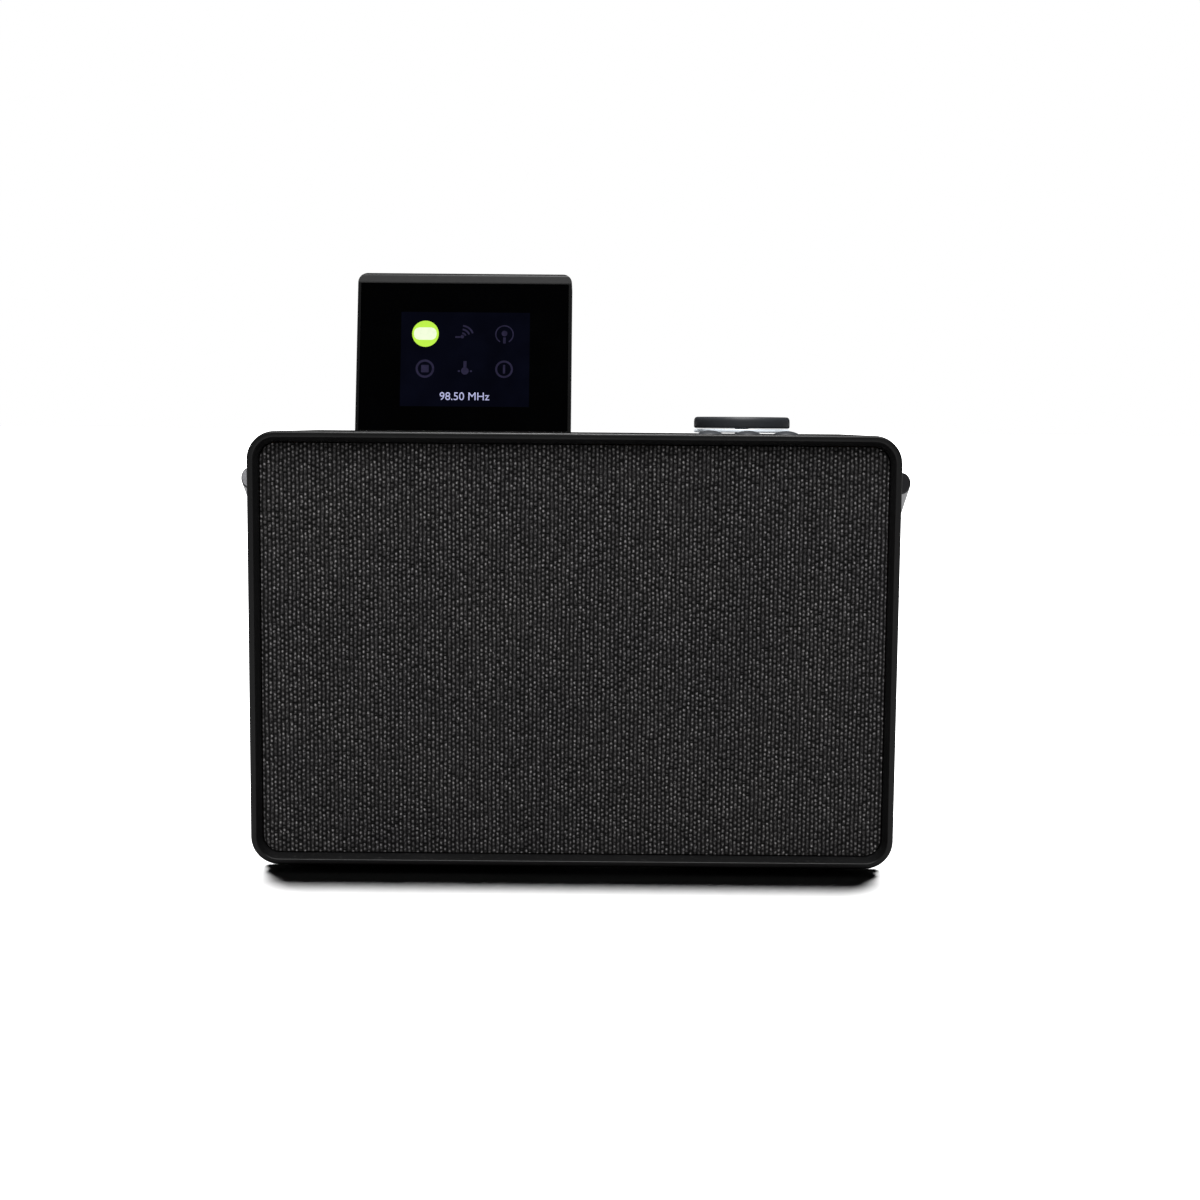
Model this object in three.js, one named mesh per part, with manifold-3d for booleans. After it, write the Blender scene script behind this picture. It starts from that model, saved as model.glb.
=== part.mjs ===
// Tabletop radio: a rounded cabinet with a cloth-covered front, a display lid that stands up from the
// top, a rotary control with three push buttons, a swinging carry handle and a rod aerial.
// Millimetres, +X to the right, +Y to the back, +Z up. The pieces are drawn from the front face (y = 0)
// and the floor (z = 0), and the finished group is moved so that its footprint is centred on the origin.
import * as THREE from "three";
import { mergeVertices } from "three/addons/utils/BufferGeometryUtils.js";
import Module from "manifold-3d";

const wasm = await Module();
wasm.setup();

// ---------------------------------------------------------------- driving dimensions
const WIDTH = 263; // cabinet, outside
const DEPTH = 106; // front of the bezel to the back of the cabinet
const FOOT_HEIGHT = 3;
const BODY_HEIGHT = 177;
const CORNER = 11.5; // radius of the cabinet's four long edges
const WALL = 3;
const GAP = 0.3; // between pieces that touch
const RUNNING = 0.1; // round a pin that something turns on

const HALF = WIDTH / 2;
const BOTTOM = FOOT_HEIGHT;
const TOP = FOOT_HEIGHT + BODY_HEIGHT;
const MID_Z = (BOTTOM + TOP) / 2;

const BEZEL_DEPTH = 8;
const BEZEL_ROUND = 2.2;
const BEZEL_FACE = 2.4; // outer edge to where the inner slope starts
const BEZEL_WIDTH = 4.3; // outer edge to the cloth opening
const BEZEL_SLOPE = 3.7; // depth of the inner slope
const CLOTH_FRONT = 3.9;
const CLOTH_THICK = 0.6;

const COVER_THICK = 3;
const COVER_BACK = DEPTH - 0.4;
const COVER_FRONT = COVER_BACK - COVER_THICK;

// display lid: u runs from the hinge to the free end, n out of the screen
const LID_WIDTH = 96.6;
const LID_X = -51.4;
const LID_LENGTH = 78.2;
const LID_THICK = 12;
const LID_CORNER = 5;
const LID_PIN_RADIUS = 1.5;
const LID_LEAN = 11.3; // degrees behind upright
const HINGE_Y = 90;
const HINGE_Z = TOP - LID_THICK / 2;
const GLASS_START = 5;
const GLASS_END = 72;
const LID_RIM = 1.8;
const LCD_CENTRE = 37.8;

// controls
const CONTROL_X = 70.7;
const KNOB_Y = 50;
const KNOB_RADIUS = 20.4;
const KNOB_GAP = 0.6; // above the deck, so that the knob can be pressed
const KNOB_RING_HEIGHT = 1.5;
const KNOB_TOP = TOP + 7.2;
const BUTTON_Y = 16.5;
const BUTTON_PITCH = 15.6;
const BUTTON_RADIUS = 5.8;
const BUTTON_RISE = 1.4; // height of the dome over the deck
const BOARD_TOP = TOP - 17;

// carry handle: a round bar that leaves its cut ends at the front and folds down behind the cabinet
const BAR_RADIUS = 3.85;
const BAR_X = 139;
const BAR_START = { y: 45, z: 159.8 };
const BAR_SLOPE = 32; // degrees below level
const PIVOT_ALONG = 10; // from the cut end to the pivot
const BAR_BACK_Y = DEPTH + 8.5;
const BAR_BEND = 30;
const BAR_CORNER = 18;
const HANDLE_REACH = 120; // pivot to the middle of the grip
const PIVOT_RADIUS = 2;
const GRIP_RADIUS = 6.6;
const GRIP_LENGTH = 150;

// drivers
const DRIVER_X = 64;
const DRIVER_Z = MID_Z;
const DRIVER_FLANGE = 38.5;
const BAFFLE_FRONT = 12;
const BAFFLE_THICK = 3;

// aerial
const AERIAL_X = 108;
const AERIAL_Z = 160;
const AERIAL_LENGTH = 150;
const AERIAL_Y = DEPTH + 9;

const REARMOST = BAR_BACK_Y + GRIP_RADIUS;
const CENTRE_Y = REARMOST / 2;

// ---------------------------------------------------------------- materials
const material = (color, roughness, metalness = 0) =>
  new THREE.MeshStandardMaterial({ color, roughness, metalness });
const FINISH = {
  cabinet: material(0x1b1b1b, 0.45),
  trim: material(0x222224, 0.4),
  cloth: material(0x2c2a2b, 0.95),
  board: material(0x1f4a2e, 0.6),
  inner: material(0x101010, 0.7),
  glass: material(0x020203, 0.08),
  lcd: material(0x05060c, 0.3),
  chrome: material(0xd8dde2, 0.12, 1),
  steel: material(0x9b9b9d, 0.35, 1),
  bar: material(0x8b8b8a, 0.3, 1),
  rubber: material(0x161616, 0.9),
  paper: material(0x242424, 0.8),
  magnet: material(0x4a4a4c, 0.5, 0.8),
  battery: material(0x2d3a55, 0.5),
};

// ---------------------------------------------------------------- solids
const AXES = {
  x: new THREE.Matrix4().makeBasis(
    new THREE.Vector3(0, 1, 0),
    new THREE.Vector3(0, 0, 1),
    new THREE.Vector3(1, 0, 0),
  ),
  y: new THREE.Matrix4().makeBasis(
    new THREE.Vector3(1, 0, 0),
    new THREE.Vector3(0, 0, 1),
    new THREE.Vector3(0, -1, 0),
  ),
  z: new THREE.Matrix4(),
};

// A closed surface as a solid, so that it can be joined and cut.
function solid(geometry) {
  const bare = geometry.index ? geometry.toNonIndexed() : geometry.clone();
  bare.deleteAttribute("normal");
  bare.deleteAttribute("uv");
  const merged = mergeVertices(bare, 1e-4);
  return new wasm.Manifold(
    new wasm.Mesh({
      numProp: 3,
      vertProperties: merged.attributes.position.array,
      triVerts: new Uint32Array(merged.index.array),
    }),
  );
}

// The surface of a solid.
function geometryOf(made) {
  const mesh = made.getMesh();
  const positions = new Float32Array(mesh.numVert * 3);
  for (let i = 0; i < mesh.numVert; i++) {
    const start = i * mesh.numProp;
    positions.set(mesh.vertProperties.subarray(start, start + 3), i * 3);
  }
  const geometry = new THREE.BufferGeometry();
  geometry.setAttribute("position", new THREE.BufferAttribute(positions, 3));
  geometry.setIndex(new THREE.BufferAttribute(mesh.triVerts, 1));
  geometry.computeVertexNormals();
  return geometry;
}

const join = (...parts) => parts.reduce((a, b) => a.add(b));
const cut = (body, ...tools) => tools.reduce((a, b) => a.subtract(b), body);
const trim = (a, b) => a.intersect(b);

function box(x0, x1, y0, y1, z0, z1) {
  const geometry = new THREE.BoxGeometry(x1 - x0, y1 - y0, z1 - z0);
  geometry.translate((x0 + x1) / 2, (y0 + y1) / 2, (z0 + z1) / 2);
  return solid(geometry);
}

function roundedRect(x0, y0, x1, y1, radius) {
  const shape = new THREE.Shape();
  const quarter = Math.PI / 2;
  shape.absarc(x1 - radius, y0 + radius, radius, -quarter, 0);
  shape.absarc(x1 - radius, y1 - radius, radius, 0, quarter);
  shape.absarc(x0 + radius, y1 - radius, radius, quarter, 2 * quarter);
  shape.absarc(x0 + radius, y0 + radius, radius, 2 * quarter, 3 * quarter);
  shape.closePath();
  return shape;
}

// The cabinet's outline, made smaller all round by inset.
function outline(inset) {
  const radius = Math.max(CORNER - inset, 1);
  return roundedRect(-HALF + inset, BOTTOM + inset, HALF - inset, TOP - inset, radius);
}

// A shape extruded along an axis from low to high. A bevel is [size, depth, segments].
function extrude(axis, shape, low, high, bevel = null, curveSegments = 6) {
  const [size, depth, segments] = bevel ?? [0, 0, 0];
  const geometry = new THREE.ExtrudeGeometry(shape, {
    depth: high - low - 2 * depth,
    bevelEnabled: bevel !== null,
    bevelSize: size,
    bevelOffset: -size,
    bevelThickness: depth,
    bevelSegments: segments,
    curveSegments,
    steps: 1,
  });
  geometry.translate(0, 0, depth);
  geometry.applyMatrix4(AXES[axis]);
  const shift = { x: [low, 0, 0], y: [0, high, 0], z: [0, 0, low] }[axis];
  geometry.translate(...shift);
  return solid(geometry);
}

// A round bar along an axis: centre is the two other coordinates, in x, y, z order.
function rod(axis, radius, low, high, centre, segments = 24) {
  const geometry = new THREE.CylinderGeometry(radius, radius, high - low, segments);
  const middle = (low + high) / 2;
  const [a, b] = centre;
  if (axis === "x") geometry.rotateZ(Math.PI / 2).translate(middle, a, b);
  if (axis === "y") geometry.translate(a, middle, b);
  if (axis === "z") geometry.rotateX(Math.PI / 2).translate(a, b, middle);
  return solid(geometry);
}

const tube = (axis, outer, inner, low, high, centre, segments = 24) =>
  cut(
    rod(axis, outer, low, high, centre, segments),
    rod(axis, inner, low - 1, high + 1, centre, segments),
  );

// A closed profile of [radius, height] points turned about an axis, z or y.
function lathe(points, axis, centre, segments = 32) {
  const profile = points.map(([r, h]) => new THREE.Vector2(r, h));
  if (THREE.ShapeUtils.area(profile) < 0) profile.reverse();
  profile.push(profile[0].clone());
  const geometry = new THREE.LatheGeometry(profile, segments);
  if (axis === "z") geometry.rotateX(Math.PI / 2).translate(centre[0], centre[1], 0);
  if (axis === "y") geometry.translate(centre[0], 0, centre[1]);
  return solid(geometry);
}

// ---------------------------------------------------------------- the tree
const radio = new THREE.Group();

function piece(name, made, finish, parent = radio) {
  const mesh = new THREE.Mesh(geometryOf(made), FINISH[finish]);
  mesh.name = name;
  parent.add(mesh);
  return mesh;
}

// ---------------------------------------------------------------- cabinet
const SCREW_X = HALF - 9;
const SCREW_Z = [BOTTOM + 9, TOP - 9];
const PIVOT = {
  y: BAR_START.y + PIVOT_ALONG * Math.cos(THREE.MathUtils.degToRad(BAR_SLOPE)),
  z: BAR_START.z - PIVOT_ALONG * Math.sin(THREE.MathUtils.degToRad(BAR_SLOPE)),
};
const FOOT_X = HALF - 25;
const FOOT_Y = [20, DEPTH - 18];
const WELL = {
  x0: LID_X - LID_WIDTH / 2 - 0.8,
  x1: LID_X + LID_WIDTH / 2 + 0.8,
  y0: HINGE_Y - LID_LENGTH - 1,
  y1: HINGE_Y + LID_THICK / 2 + 2.2,
  floor: TOP - LID_THICK - 1.5,
  wall: 1.6,
};
const buttonX = (i) => CONTROL_X + (i - 1) * BUTTON_PITCH;
const BUTTON_NAMES = ["left", "middle", "right"];

function frontBezel() {
  const blank = extrude("y", outline(0), 0, 2 * BEZEL_DEPTH, [BEZEL_ROUND, BEZEL_ROUND, 4], 8);
  const ring = trim(blank, box(-HALF, HALF, -1, BEZEL_DEPTH, 0, TOP + 1));
  const flare = extrude(
    "y", outline(BEZEL_FACE), -2 * BEZEL_SLOPE, BEZEL_SLOPE,
    [BEZEL_WIDTH - BEZEL_FACE, BEZEL_SLOPE, 1], 8,
  );
  const opening = extrude("y", outline(BEZEL_WIDTH), -1, BEZEL_DEPTH + 1, null, 8);
  return cut(ring, flare, opening);
}

function cabinetShell() {
  const outer = extrude("y", outline(0), BEZEL_DEPTH + GAP, DEPTH, null, 8);
  const inner = extrude("y", outline(WALL), 0, DEPTH + 1, null, 8);
  let shell = cut(outer, inner);
  for (const x of [-SCREW_X, SCREW_X]) {
    for (const z of SCREW_Z) {
      const out = Math.sign(x);
      const up = Math.sign(z - MID_Z);
      const boss = join(
        rod("y", 4, 80, COVER_FRONT - GAP, [x, z], 16),
        box(...[x, x + out * 7].sort((a, b) => a - b), 80, COVER_FRONT - GAP, z - 1.2, z + 1.2),
        box(x - 1.2, x + 1.2, 80, COVER_FRONT - GAP, ...[z, z + up * 7].sort((a, b) => a - b)),
      );
      shell = join(shell, trim(boss, extrude("y", outline(1), 0, DEPTH, null, 8)));
      shell = cut(shell, rod("y", 1.9, 84, DEPTH, [x, z], 12));
    }
    shell = cut(
      shell,
      rod("x", 2.6, ...[x, Math.sign(x) * (HALF + 1)].sort((a, b) => a - b), [PIVOT.y, PIVOT.z], 20),
    );
    for (const y of FOOT_Y) {
      shell = cut(shell, rod("z", 2.4, BOTTOM - 1, BOTTOM + 5, [Math.sign(x) * FOOT_X, y], 12));
    }
  }
  shell = cut(
    shell,
    box(WELL.x0, WELL.x1, WELL.y0, WELL.y1, TOP - 5, TOP + 1),
    rod("z", 4.6, TOP - 5, TOP + 1, [CONTROL_X, KNOB_Y], 20),
  );
  for (let i = 0; i < 3; i++) {
    shell = cut(shell, rod("z", BUTTON_RADIUS + GAP, TOP - 5, TOP + 1, [buttonX(i), BUTTON_Y], 28));
  }
  return shell;
}

const DOOR = { x0: -112, x1: -12, z0: 76, z1: 142 };
const PORT = { x: 74, z: 112, outer: 19.5, inner: 17 };
const PANEL = { x0: 18, x1: 92, z0: 12, z1: 28 };

function rearCover() {
  let cover = extrude("y", outline(WALL + GAP), COVER_FRONT, COVER_BACK, null, 8);
  for (const x of [-SCREW_X, SCREW_X]) {
    for (const z of SCREW_Z) {
      cover = cut(
        cover,
        rod("y", 2.2, COVER_FRONT - 1, COVER_BACK + 1, [x, z], 14),
        rod("y", 3.9, COVER_BACK - 1.8, COVER_BACK + 1, [x, z], 20),
      );
    }
  }
  cover = cut(
    cover,
    box(DOOR.x0, DOOR.x1, COVER_FRONT - 1, COVER_BACK + 1, DOOR.z0, DOOR.z1),
    rod("y", PORT.outer + GAP, COVER_FRONT - 1, COVER_BACK + 1, [PORT.x, PORT.z], 40),
    box(PANEL.x0, PANEL.x1, COVER_FRONT - 1, COVER_BACK + 1, PANEL.z0, PANEL.z1),
    rod("y", 3.3, COVER_FRONT - 1, COVER_BACK + 1, [AERIAL_X, AERIAL_Z], 20),
  );
  for (let i = 0; i < 6; i++) {
    const x = -100 + i * 9;
    cover = cut(
      cover,
      extrude("y", roundedRect(x, 14, x + 3, 34, 1.4), COVER_FRONT - 1, COVER_BACK + 1, null, 3),
    );
  }
  return cover;
}

piece("front_bezel", frontBezel(), "trim");
piece("cabinet_shell", cabinetShell(), "cabinet");
piece("rear_cover", rearCover(), "cabinet");

for (const [side, x] of [["left", -SCREW_X], ["right", SCREW_X]]) {
  for (const [level, z] of [["lower", SCREW_Z[0]], ["upper", SCREW_Z[1]]]) {
    const head = rod("y", 3.6, COVER_BACK - 1.5, COVER_BACK - 0.2, [x, z], 20);
    const shank = rod("y", 1.5, 88, COVER_BACK - 1.4, [x, z], 12);
    const slot = box(x - 2.2, x + 2.2, COVER_BACK - 0.9, COVER_BACK, z - 0.4, z + 0.4);
    const cross = box(x - 0.4, x + 0.4, COVER_BACK - 0.9, COVER_BACK, z - 2.2, z + 2.2);
    piece(`rear_screw_${level}_${side}`, cut(join(head, shank), slot, cross), "steel");
  }
}

for (const [side, x] of [["left", -FOOT_X], ["right", FOOT_X]]) {
  for (const [end, y] of [["front", FOOT_Y[0]], ["back", FOOT_Y[1]]]) {
    const profile = [
      [0, 0], [7.2, 0], [8, 0.8], [8, BOTTOM - GAP], [2, BOTTOM - GAP], [2, BOTTOM + 4], [0, BOTTOM + 4],
    ];
    piece(`foot_${end}_${side}`, lathe(profile, "z", [x, y], 24), "rubber");
  }
}

// ---------------------------------------------------------------- cloth front and drivers
function grilleFrame() {
  const front = CLOTH_FRONT + CLOTH_THICK + GAP;
  let frame = extrude("y", outline(BEZEL_WIDTH + 0.9), front, BEZEL_DEPTH - GAP, null, 8);
  for (const x of [-DRIVER_X, DRIVER_X]) {
    let hole = rod("y", 36, front - 1, BEZEL_DEPTH, [x, DRIVER_Z], 36);
    hole = cut(hole, box(x - 38, x + 38, front - 2, BEZEL_DEPTH + 1, DRIVER_Z - 1.5, DRIVER_Z + 1.5));
    frame = cut(frame, hole);
  }
  return frame;
}

function baffle() {
  let plate = extrude("y", outline(WALL + 0.4), BAFFLE_FRONT, BAFFLE_FRONT + BAFFLE_THICK, null, 6);
  for (const x of [-DRIVER_X, DRIVER_X]) {
    plate = cut(plate, rod("y", 34.5, BAFFLE_FRONT - 1, BAFFLE_FRONT + BAFFLE_THICK + 1, [x, DRIVER_Z], 32));
  }
  const controls = box(
    CONTROL_X - 28, CONTROL_X + 28, BAFFLE_FRONT - 1, BAFFLE_FRONT + BAFFLE_THICK + 1, TOP - 22, TOP,
  );
  const display = box(
    WELL.x0 - 3, WELL.x1 + 3, BAFFLE_FRONT - 1, BAFFLE_FRONT + BAFFLE_THICK + 1, TOP - 17, TOP,
  );
  return cut(plate, controls, display);
}

piece(
  "grille_cloth",
  extrude("y", outline(BEZEL_WIDTH + 0.5), CLOTH_FRONT, CLOTH_FRONT + CLOTH_THICK, null, 8),
  "cloth",
);
piece("grille_frame", grilleFrame(), "inner");
piece("speaker_baffle", baffle(), "inner");

for (const [side, x] of [["left", -DRIVER_X], ["right", DRIVER_X]]) {
  const centre = [x, DRIVER_Z];
  const basket = [
    [33, 10.2], [DRIVER_FLANGE, 10.2], [DRIVER_FLANGE, BAFFLE_FRONT - GAP], [34, BAFFLE_FRONT - GAP],
    [24, 32], [24, 34], [7, 34], [7, 32], [20, 32], [30, 15],
    [32.6, 11.2], [31.3, 9.8], [29.6, 11.2], [29.6, 10.6], [31.3, 9],
  ];
  const magnet = [
    [0, 34 + GAP], [26, 34 + GAP], [26.8, 35.1], [26.8, 47.2], [26, 48], [0, 48],
  ];
  const cone = [
    [0, 17.2], [9, 19.5], [28.6, 11], [29.2, 11.4], [28.8, 12.4],
    [9, 21], [6.4, 21], [6.4, 30], [5.6, 30], [5.6, 20.2], [0, 18.4],
  ];
  piece(`speaker_basket_${side}`, lathe(basket, "y", centre, 24), "magnet");
  piece(`speaker_magnet_${side}`, lathe(magnet, "y", centre, 24), "magnet");
  piece(`speaker_cone_${side}`, lathe(cone, "y", centre, 24), "paper");
}

piece(
  "bass_port",
  join(
    tube("y", PORT.outer, PORT.inner, 62, COVER_BACK - 0.2, [PORT.x, PORT.z], 28),
    cut(
      rod("y", PORT.outer + 3, COVER_BACK + GAP, COVER_BACK + 1.6, [PORT.x, PORT.z], 28),
      rod("y", PORT.inner, 0, COVER_BACK + 3, [PORT.x, PORT.z], 28),
    ),
    tube("y", PORT.outer, PORT.inner, 100, COVER_BACK + 1, [PORT.x, PORT.z], 28),
  ),
  "inner",
);

// ---------------------------------------------------------------- display lid
function displayWell() {
  const { x0, x1, y0, y1, floor, wall } = WELL;
  const top = TOP - WALL - GAP;
  let well = cut(
    box(x0 - wall, x1 + wall, y0 - wall, y1 + wall, floor - wall, top),
    box(x0, x1, y0, y1, floor, top + 1),
  );
  well = join(
    well,
    box(x0 - wall, x0, HINGE_Y - 7, HINGE_Y + 7, floor - wall, top),
    box(x1, x1 + wall, HINGE_Y - 7, HINGE_Y + 7, floor - wall, top),
  );
  return cut(
    well,
    rod("x", 1.8, x0 - wall - 1, x1 + wall + 1, [HINGE_Y, HINGE_Z], 20),
    box(LID_X - 12, LID_X + 12, y1 - 1, y1 + wall + 1, floor + 1, floor + 4),
  );
}

piece("display_well", displayWell(), "inner");
for (const [side, x, inward] of [["left", WELL.x0, 1], ["right", WELL.x1, -1]]) {
  const ends = [x - inward * (WELL.wall + 1.5), x + inward * 10].sort((a, b) => a - b);
  piece(`display_hinge_pin_${side}`, rod("x", LID_PIN_RADIUS, ...ends, [HINGE_Y, HINGE_Z], 20), "steel");
}

// The lid is drawn standing upright about the hinge axis (u up, screen to the front) and leaned back.
const lid = new THREE.Group();
lid.position.set(LID_X, HINGE_Y, HINGE_Z);
lid.rotation.x = -THREE.MathUtils.degToRad(LID_LEAN);
radio.add(lid);

const LID_HALF = LID_WIDTH / 2;
const FACE = -LID_THICK / 2; // y of the screen side
const BACK = LID_THICK / 2;

function lidShell() {
  const side = new THREE.Shape();
  side.moveTo(FACE, 0);
  side.absarc(0, 0, LID_THICK / 2, Math.PI, 2 * Math.PI);
  side.lineTo(BACK, LID_LENGTH - 2.4);
  side.quadraticCurveTo(BACK, LID_LENGTH, BACK - 2.4, LID_LENGTH);
  side.lineTo(FACE + 3.2, LID_LENGTH);
  side.quadraticCurveTo(FACE + 2, LID_LENGTH, FACE + 1.5, LID_LENGTH - 1.2);
  side.lineTo(FACE, GLASS_END + 0.6);
  side.closePath();
  const slab = extrude("x", side, -LID_HALF, LID_HALF, null, 6);
  const front = extrude(
    "y", roundedRect(-LID_HALF, -30, LID_HALF, LID_LENGTH, LID_CORNER), FACE - 1, BACK + 1, null, 6,
  );
  const seat = box(
    -LID_HALF + LID_RIM, LID_HALF - LID_RIM, FACE - 1, FACE + 1.8, GLASS_START, GLASS_END,
  );
  const hollow = box(
    -LID_HALF + LID_RIM + 1.5, LID_HALF - LID_RIM - 1.5, FACE, BACK - 1.8, GLASS_START + 4, GLASS_END - 1.5,
  );
  const bore = rod("x", LID_PIN_RADIUS + RUNNING, -LID_HALF - 1, LID_HALF + 1, [0, 0], 20);
  return cut(trim(slab, front), seat, hollow, bore);
}

piece("display_lid", lidShell(), "trim", lid);
piece(
  "display_glass",
  box(
    -LID_HALF + LID_RIM + GAP / 2, LID_HALF - LID_RIM - GAP / 2, FACE + 0.2, FACE + 1.4,
    GLASS_START + GAP / 2, GLASS_END - GAP / 2,
  ),
  "glass",
  lid,
);
piece("lcd_module", box(-33, 33, FACE + 1.9, FACE + 4.6, LCD_CENTRE - 25, LCD_CENTRE + 25), "lcd", lid);
piece("display_board", box(-40, 40, FACE + 6, FACE + 7.6, GLASS_START + 7, GLASS_END - 5), "board", lid);

// ---------------------------------------------------------------- rotary control and buttons
const KNOB_BASE = TOP + KNOB_GAP;
const RING_TOP = KNOB_BASE + KNOB_RING_HEIGHT;
const knobCap = [
  [0, RING_TOP + GAP], [KNOB_RADIUS - 0.3, RING_TOP + GAP], [KNOB_RADIUS, RING_TOP + 0.6],
  [KNOB_RADIUS, KNOB_TOP - 1.6], [KNOB_RADIUS - 0.5, KNOB_TOP - 0.5], [KNOB_RADIUS - 1.6, KNOB_TOP],
  [17, KNOB_TOP - 0.2], [0, KNOB_TOP - 0.9],
];
piece(
  "knob_cap",
  cut(
    lathe(knobCap, "z", [CONTROL_X, KNOB_Y], 48),
    rod("z", 3.2, TOP - 1, KNOB_TOP - 2, [CONTROL_X, KNOB_Y], 20),
  ),
  "trim",
);
piece(
  "knob_ring",
  tube("z", KNOB_RADIUS, 3.4, KNOB_BASE, RING_TOP, [CONTROL_X, KNOB_Y], 48),
  "chrome",
);
piece(
  "encoder_shaft",
  rod("z", 2.9, BOARD_TOP + 7.4, KNOB_TOP - 2.4, [CONTROL_X, KNOB_Y], 20),
  "steel",
);
piece(
  "encoder_body",
  join(
    box(CONTROL_X - 6.5, CONTROL_X + 6.5, KNOB_Y - 6.5, KNOB_Y + 6.5, BOARD_TOP + GAP, BOARD_TOP + 6.5),
    tube("z", 4.2, 3.2, BOARD_TOP + 6, TOP - 1.4, [CONTROL_X, KNOB_Y], 20),
  ),
  "steel",
);
piece(
  "control_board",
  box(CONTROL_X - 26, CONTROL_X + 26, 9.5, KNOB_Y + 18, BOARD_TOP - 1.6, BOARD_TOP),
  "board",
);

for (let i = 0; i < 3; i++) {
  const centre = [buttonX(i), BUTTON_Y];
  const dome = (BUTTON_RADIUS ** 2 + BUTTON_RISE ** 2) / (2 * BUTTON_RISE);
  const profile = [[0, TOP - 11], [1.6, TOP - 11], [1.6, TOP - 6.4], [7, TOP - 6.4], [7, TOP - 5]];
  profile.push([BUTTON_RADIUS, TOP - 5]);
  for (let k = 0; k <= 5; k++) {
    const r = BUTTON_RADIUS * (1 - k / 5);
    profile.push([r, TOP + 0.1 + BUTTON_RISE - (dome - Math.sqrt(dome ** 2 - r ** 2))]);
  }
  piece(`button_${BUTTON_NAMES[i]}`, lathe(profile, "z", centre, 24), "trim");
  piece(
    `button_switch_${BUTTON_NAMES[i]}`,
    join(
      box(centre[0] - 3, centre[0] + 3, BUTTON_Y - 3, BUTTON_Y + 3, BOARD_TOP + GAP, BOARD_TOP + 3.4),
      rod("z", 1.7, BOARD_TOP + 3, BOARD_TOP + 4.6, centre, 14),
    ),
    "inner",
  );
}

// ---------------------------------------------------------------- carry handle
function handlePath() {
  const slope = THREE.MathUtils.degToRad(BAR_SLOPE);
  const drop = (y) => BAR_START.z - (y - BAR_START.y) * Math.tan(slope);
  const elbow = drop(BAR_BACK_Y);
  const reach = BAR_BACK_Y - PIVOT.y;
  const low = PIVOT.z - Math.sqrt(HANDLE_REACH ** 2 - reach ** 2);
  const tangent = BAR_BEND * Math.tan((Math.PI / 2 - slope) / 2);
  const entryY = BAR_BACK_Y - tangent * Math.cos(slope);
  const lead = 6; // runs past the vertical cut at the front end
  const side = (x) => [
    new THREE.Vector3(x, BAR_START.y - lead, drop(BAR_START.y - lead)),
    new THREE.Vector3(x, entryY, drop(entryY)),
    new THREE.Vector3(x, BAR_BACK_Y, elbow),
    new THREE.Vector3(x, BAR_BACK_Y, elbow - tangent),
    new THREE.Vector3(x, BAR_BACK_Y, low + BAR_CORNER),
    new THREE.Vector3(x, BAR_BACK_Y, low),
    new THREE.Vector3(x - Math.sign(x) * BAR_CORNER, BAR_BACK_Y, low),
  ];
  const [a, b, c, d, e, f, g] = side(-BAR_X);
  const [h, i, j, k, l, m, n] = side(BAR_X);
  const path = new THREE.CurvePath();
  path.add(new THREE.LineCurve3(a, b));
  path.add(new THREE.QuadraticBezierCurve3(b, c, d));
  path.add(new THREE.LineCurve3(d, e));
  path.add(new THREE.QuadraticBezierCurve3(e, f, g));
  path.add(new THREE.LineCurve3(g, n));
  path.add(new THREE.QuadraticBezierCurve3(n, m, l));
  path.add(new THREE.LineCurve3(l, k));
  path.add(new THREE.QuadraticBezierCurve3(k, j, i));
  path.add(new THREE.LineCurve3(i, h));
  return { path, low };
}

const HANDLE = handlePath();

function handleBar() {
  const section = new THREE.Shape();
  section.absarc(0, 0, BAR_RADIUS, 0, 2 * Math.PI);
  const geometry = new THREE.ExtrudeGeometry(section, {
    steps: 64,
    extrudePath: HANDLE.path,
    bevelEnabled: false,
    curveSegments: 6,
  });
  let bar = solid(geometry);
  bar = trim(bar, box(-200, 200, BAR_START.y, 200, -50, 300));
  for (const x of [-BAR_X, BAR_X]) {
    const inner = x - Math.sign(x) * (BAR_RADIUS + 1);
    const ends = [inner, x + Math.sign(x) * 2].sort((a, b) => a - b);
    bar = cut(bar, rod("x", PIVOT_RADIUS + RUNNING, ...ends, [PIVOT.y, PIVOT.z], 20));
  }
  return bar;
}

piece("handle_bar", handleBar(), "bar");
piece(
  "handle_grip",
  tube(
    "x", GRIP_RADIUS, BAR_RADIUS + GAP, -GRIP_LENGTH / 2, GRIP_LENGTH / 2, [BAR_BACK_Y, HANDLE.low], 24,
  ),
  "rubber",
);
for (const [side, out] of [["left", -1], ["right", 1]]) {
  const span = (a, b) => [out * a, out * b].sort((p, q) => p - q);
  const centre = [PIVOT.y, PIVOT.z];
  const pin = join(
    rod("x", PIVOT_RADIUS, ...span(HALF - WALL - 4, BAR_X + 1.6), centre, 20),
    rod("x", 4.4, ...span(HALF - WALL - 5, HALF - WALL - GAP), centre, 20),
  );
  piece(`handle_pivot_${side}`, pin, "steel");
  piece(`handle_washer_${side}`, tube("x", 5, 2.35, ...span(HALF + 0.2, HALF + 1.4), centre, 24), "rubber");
}

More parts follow.
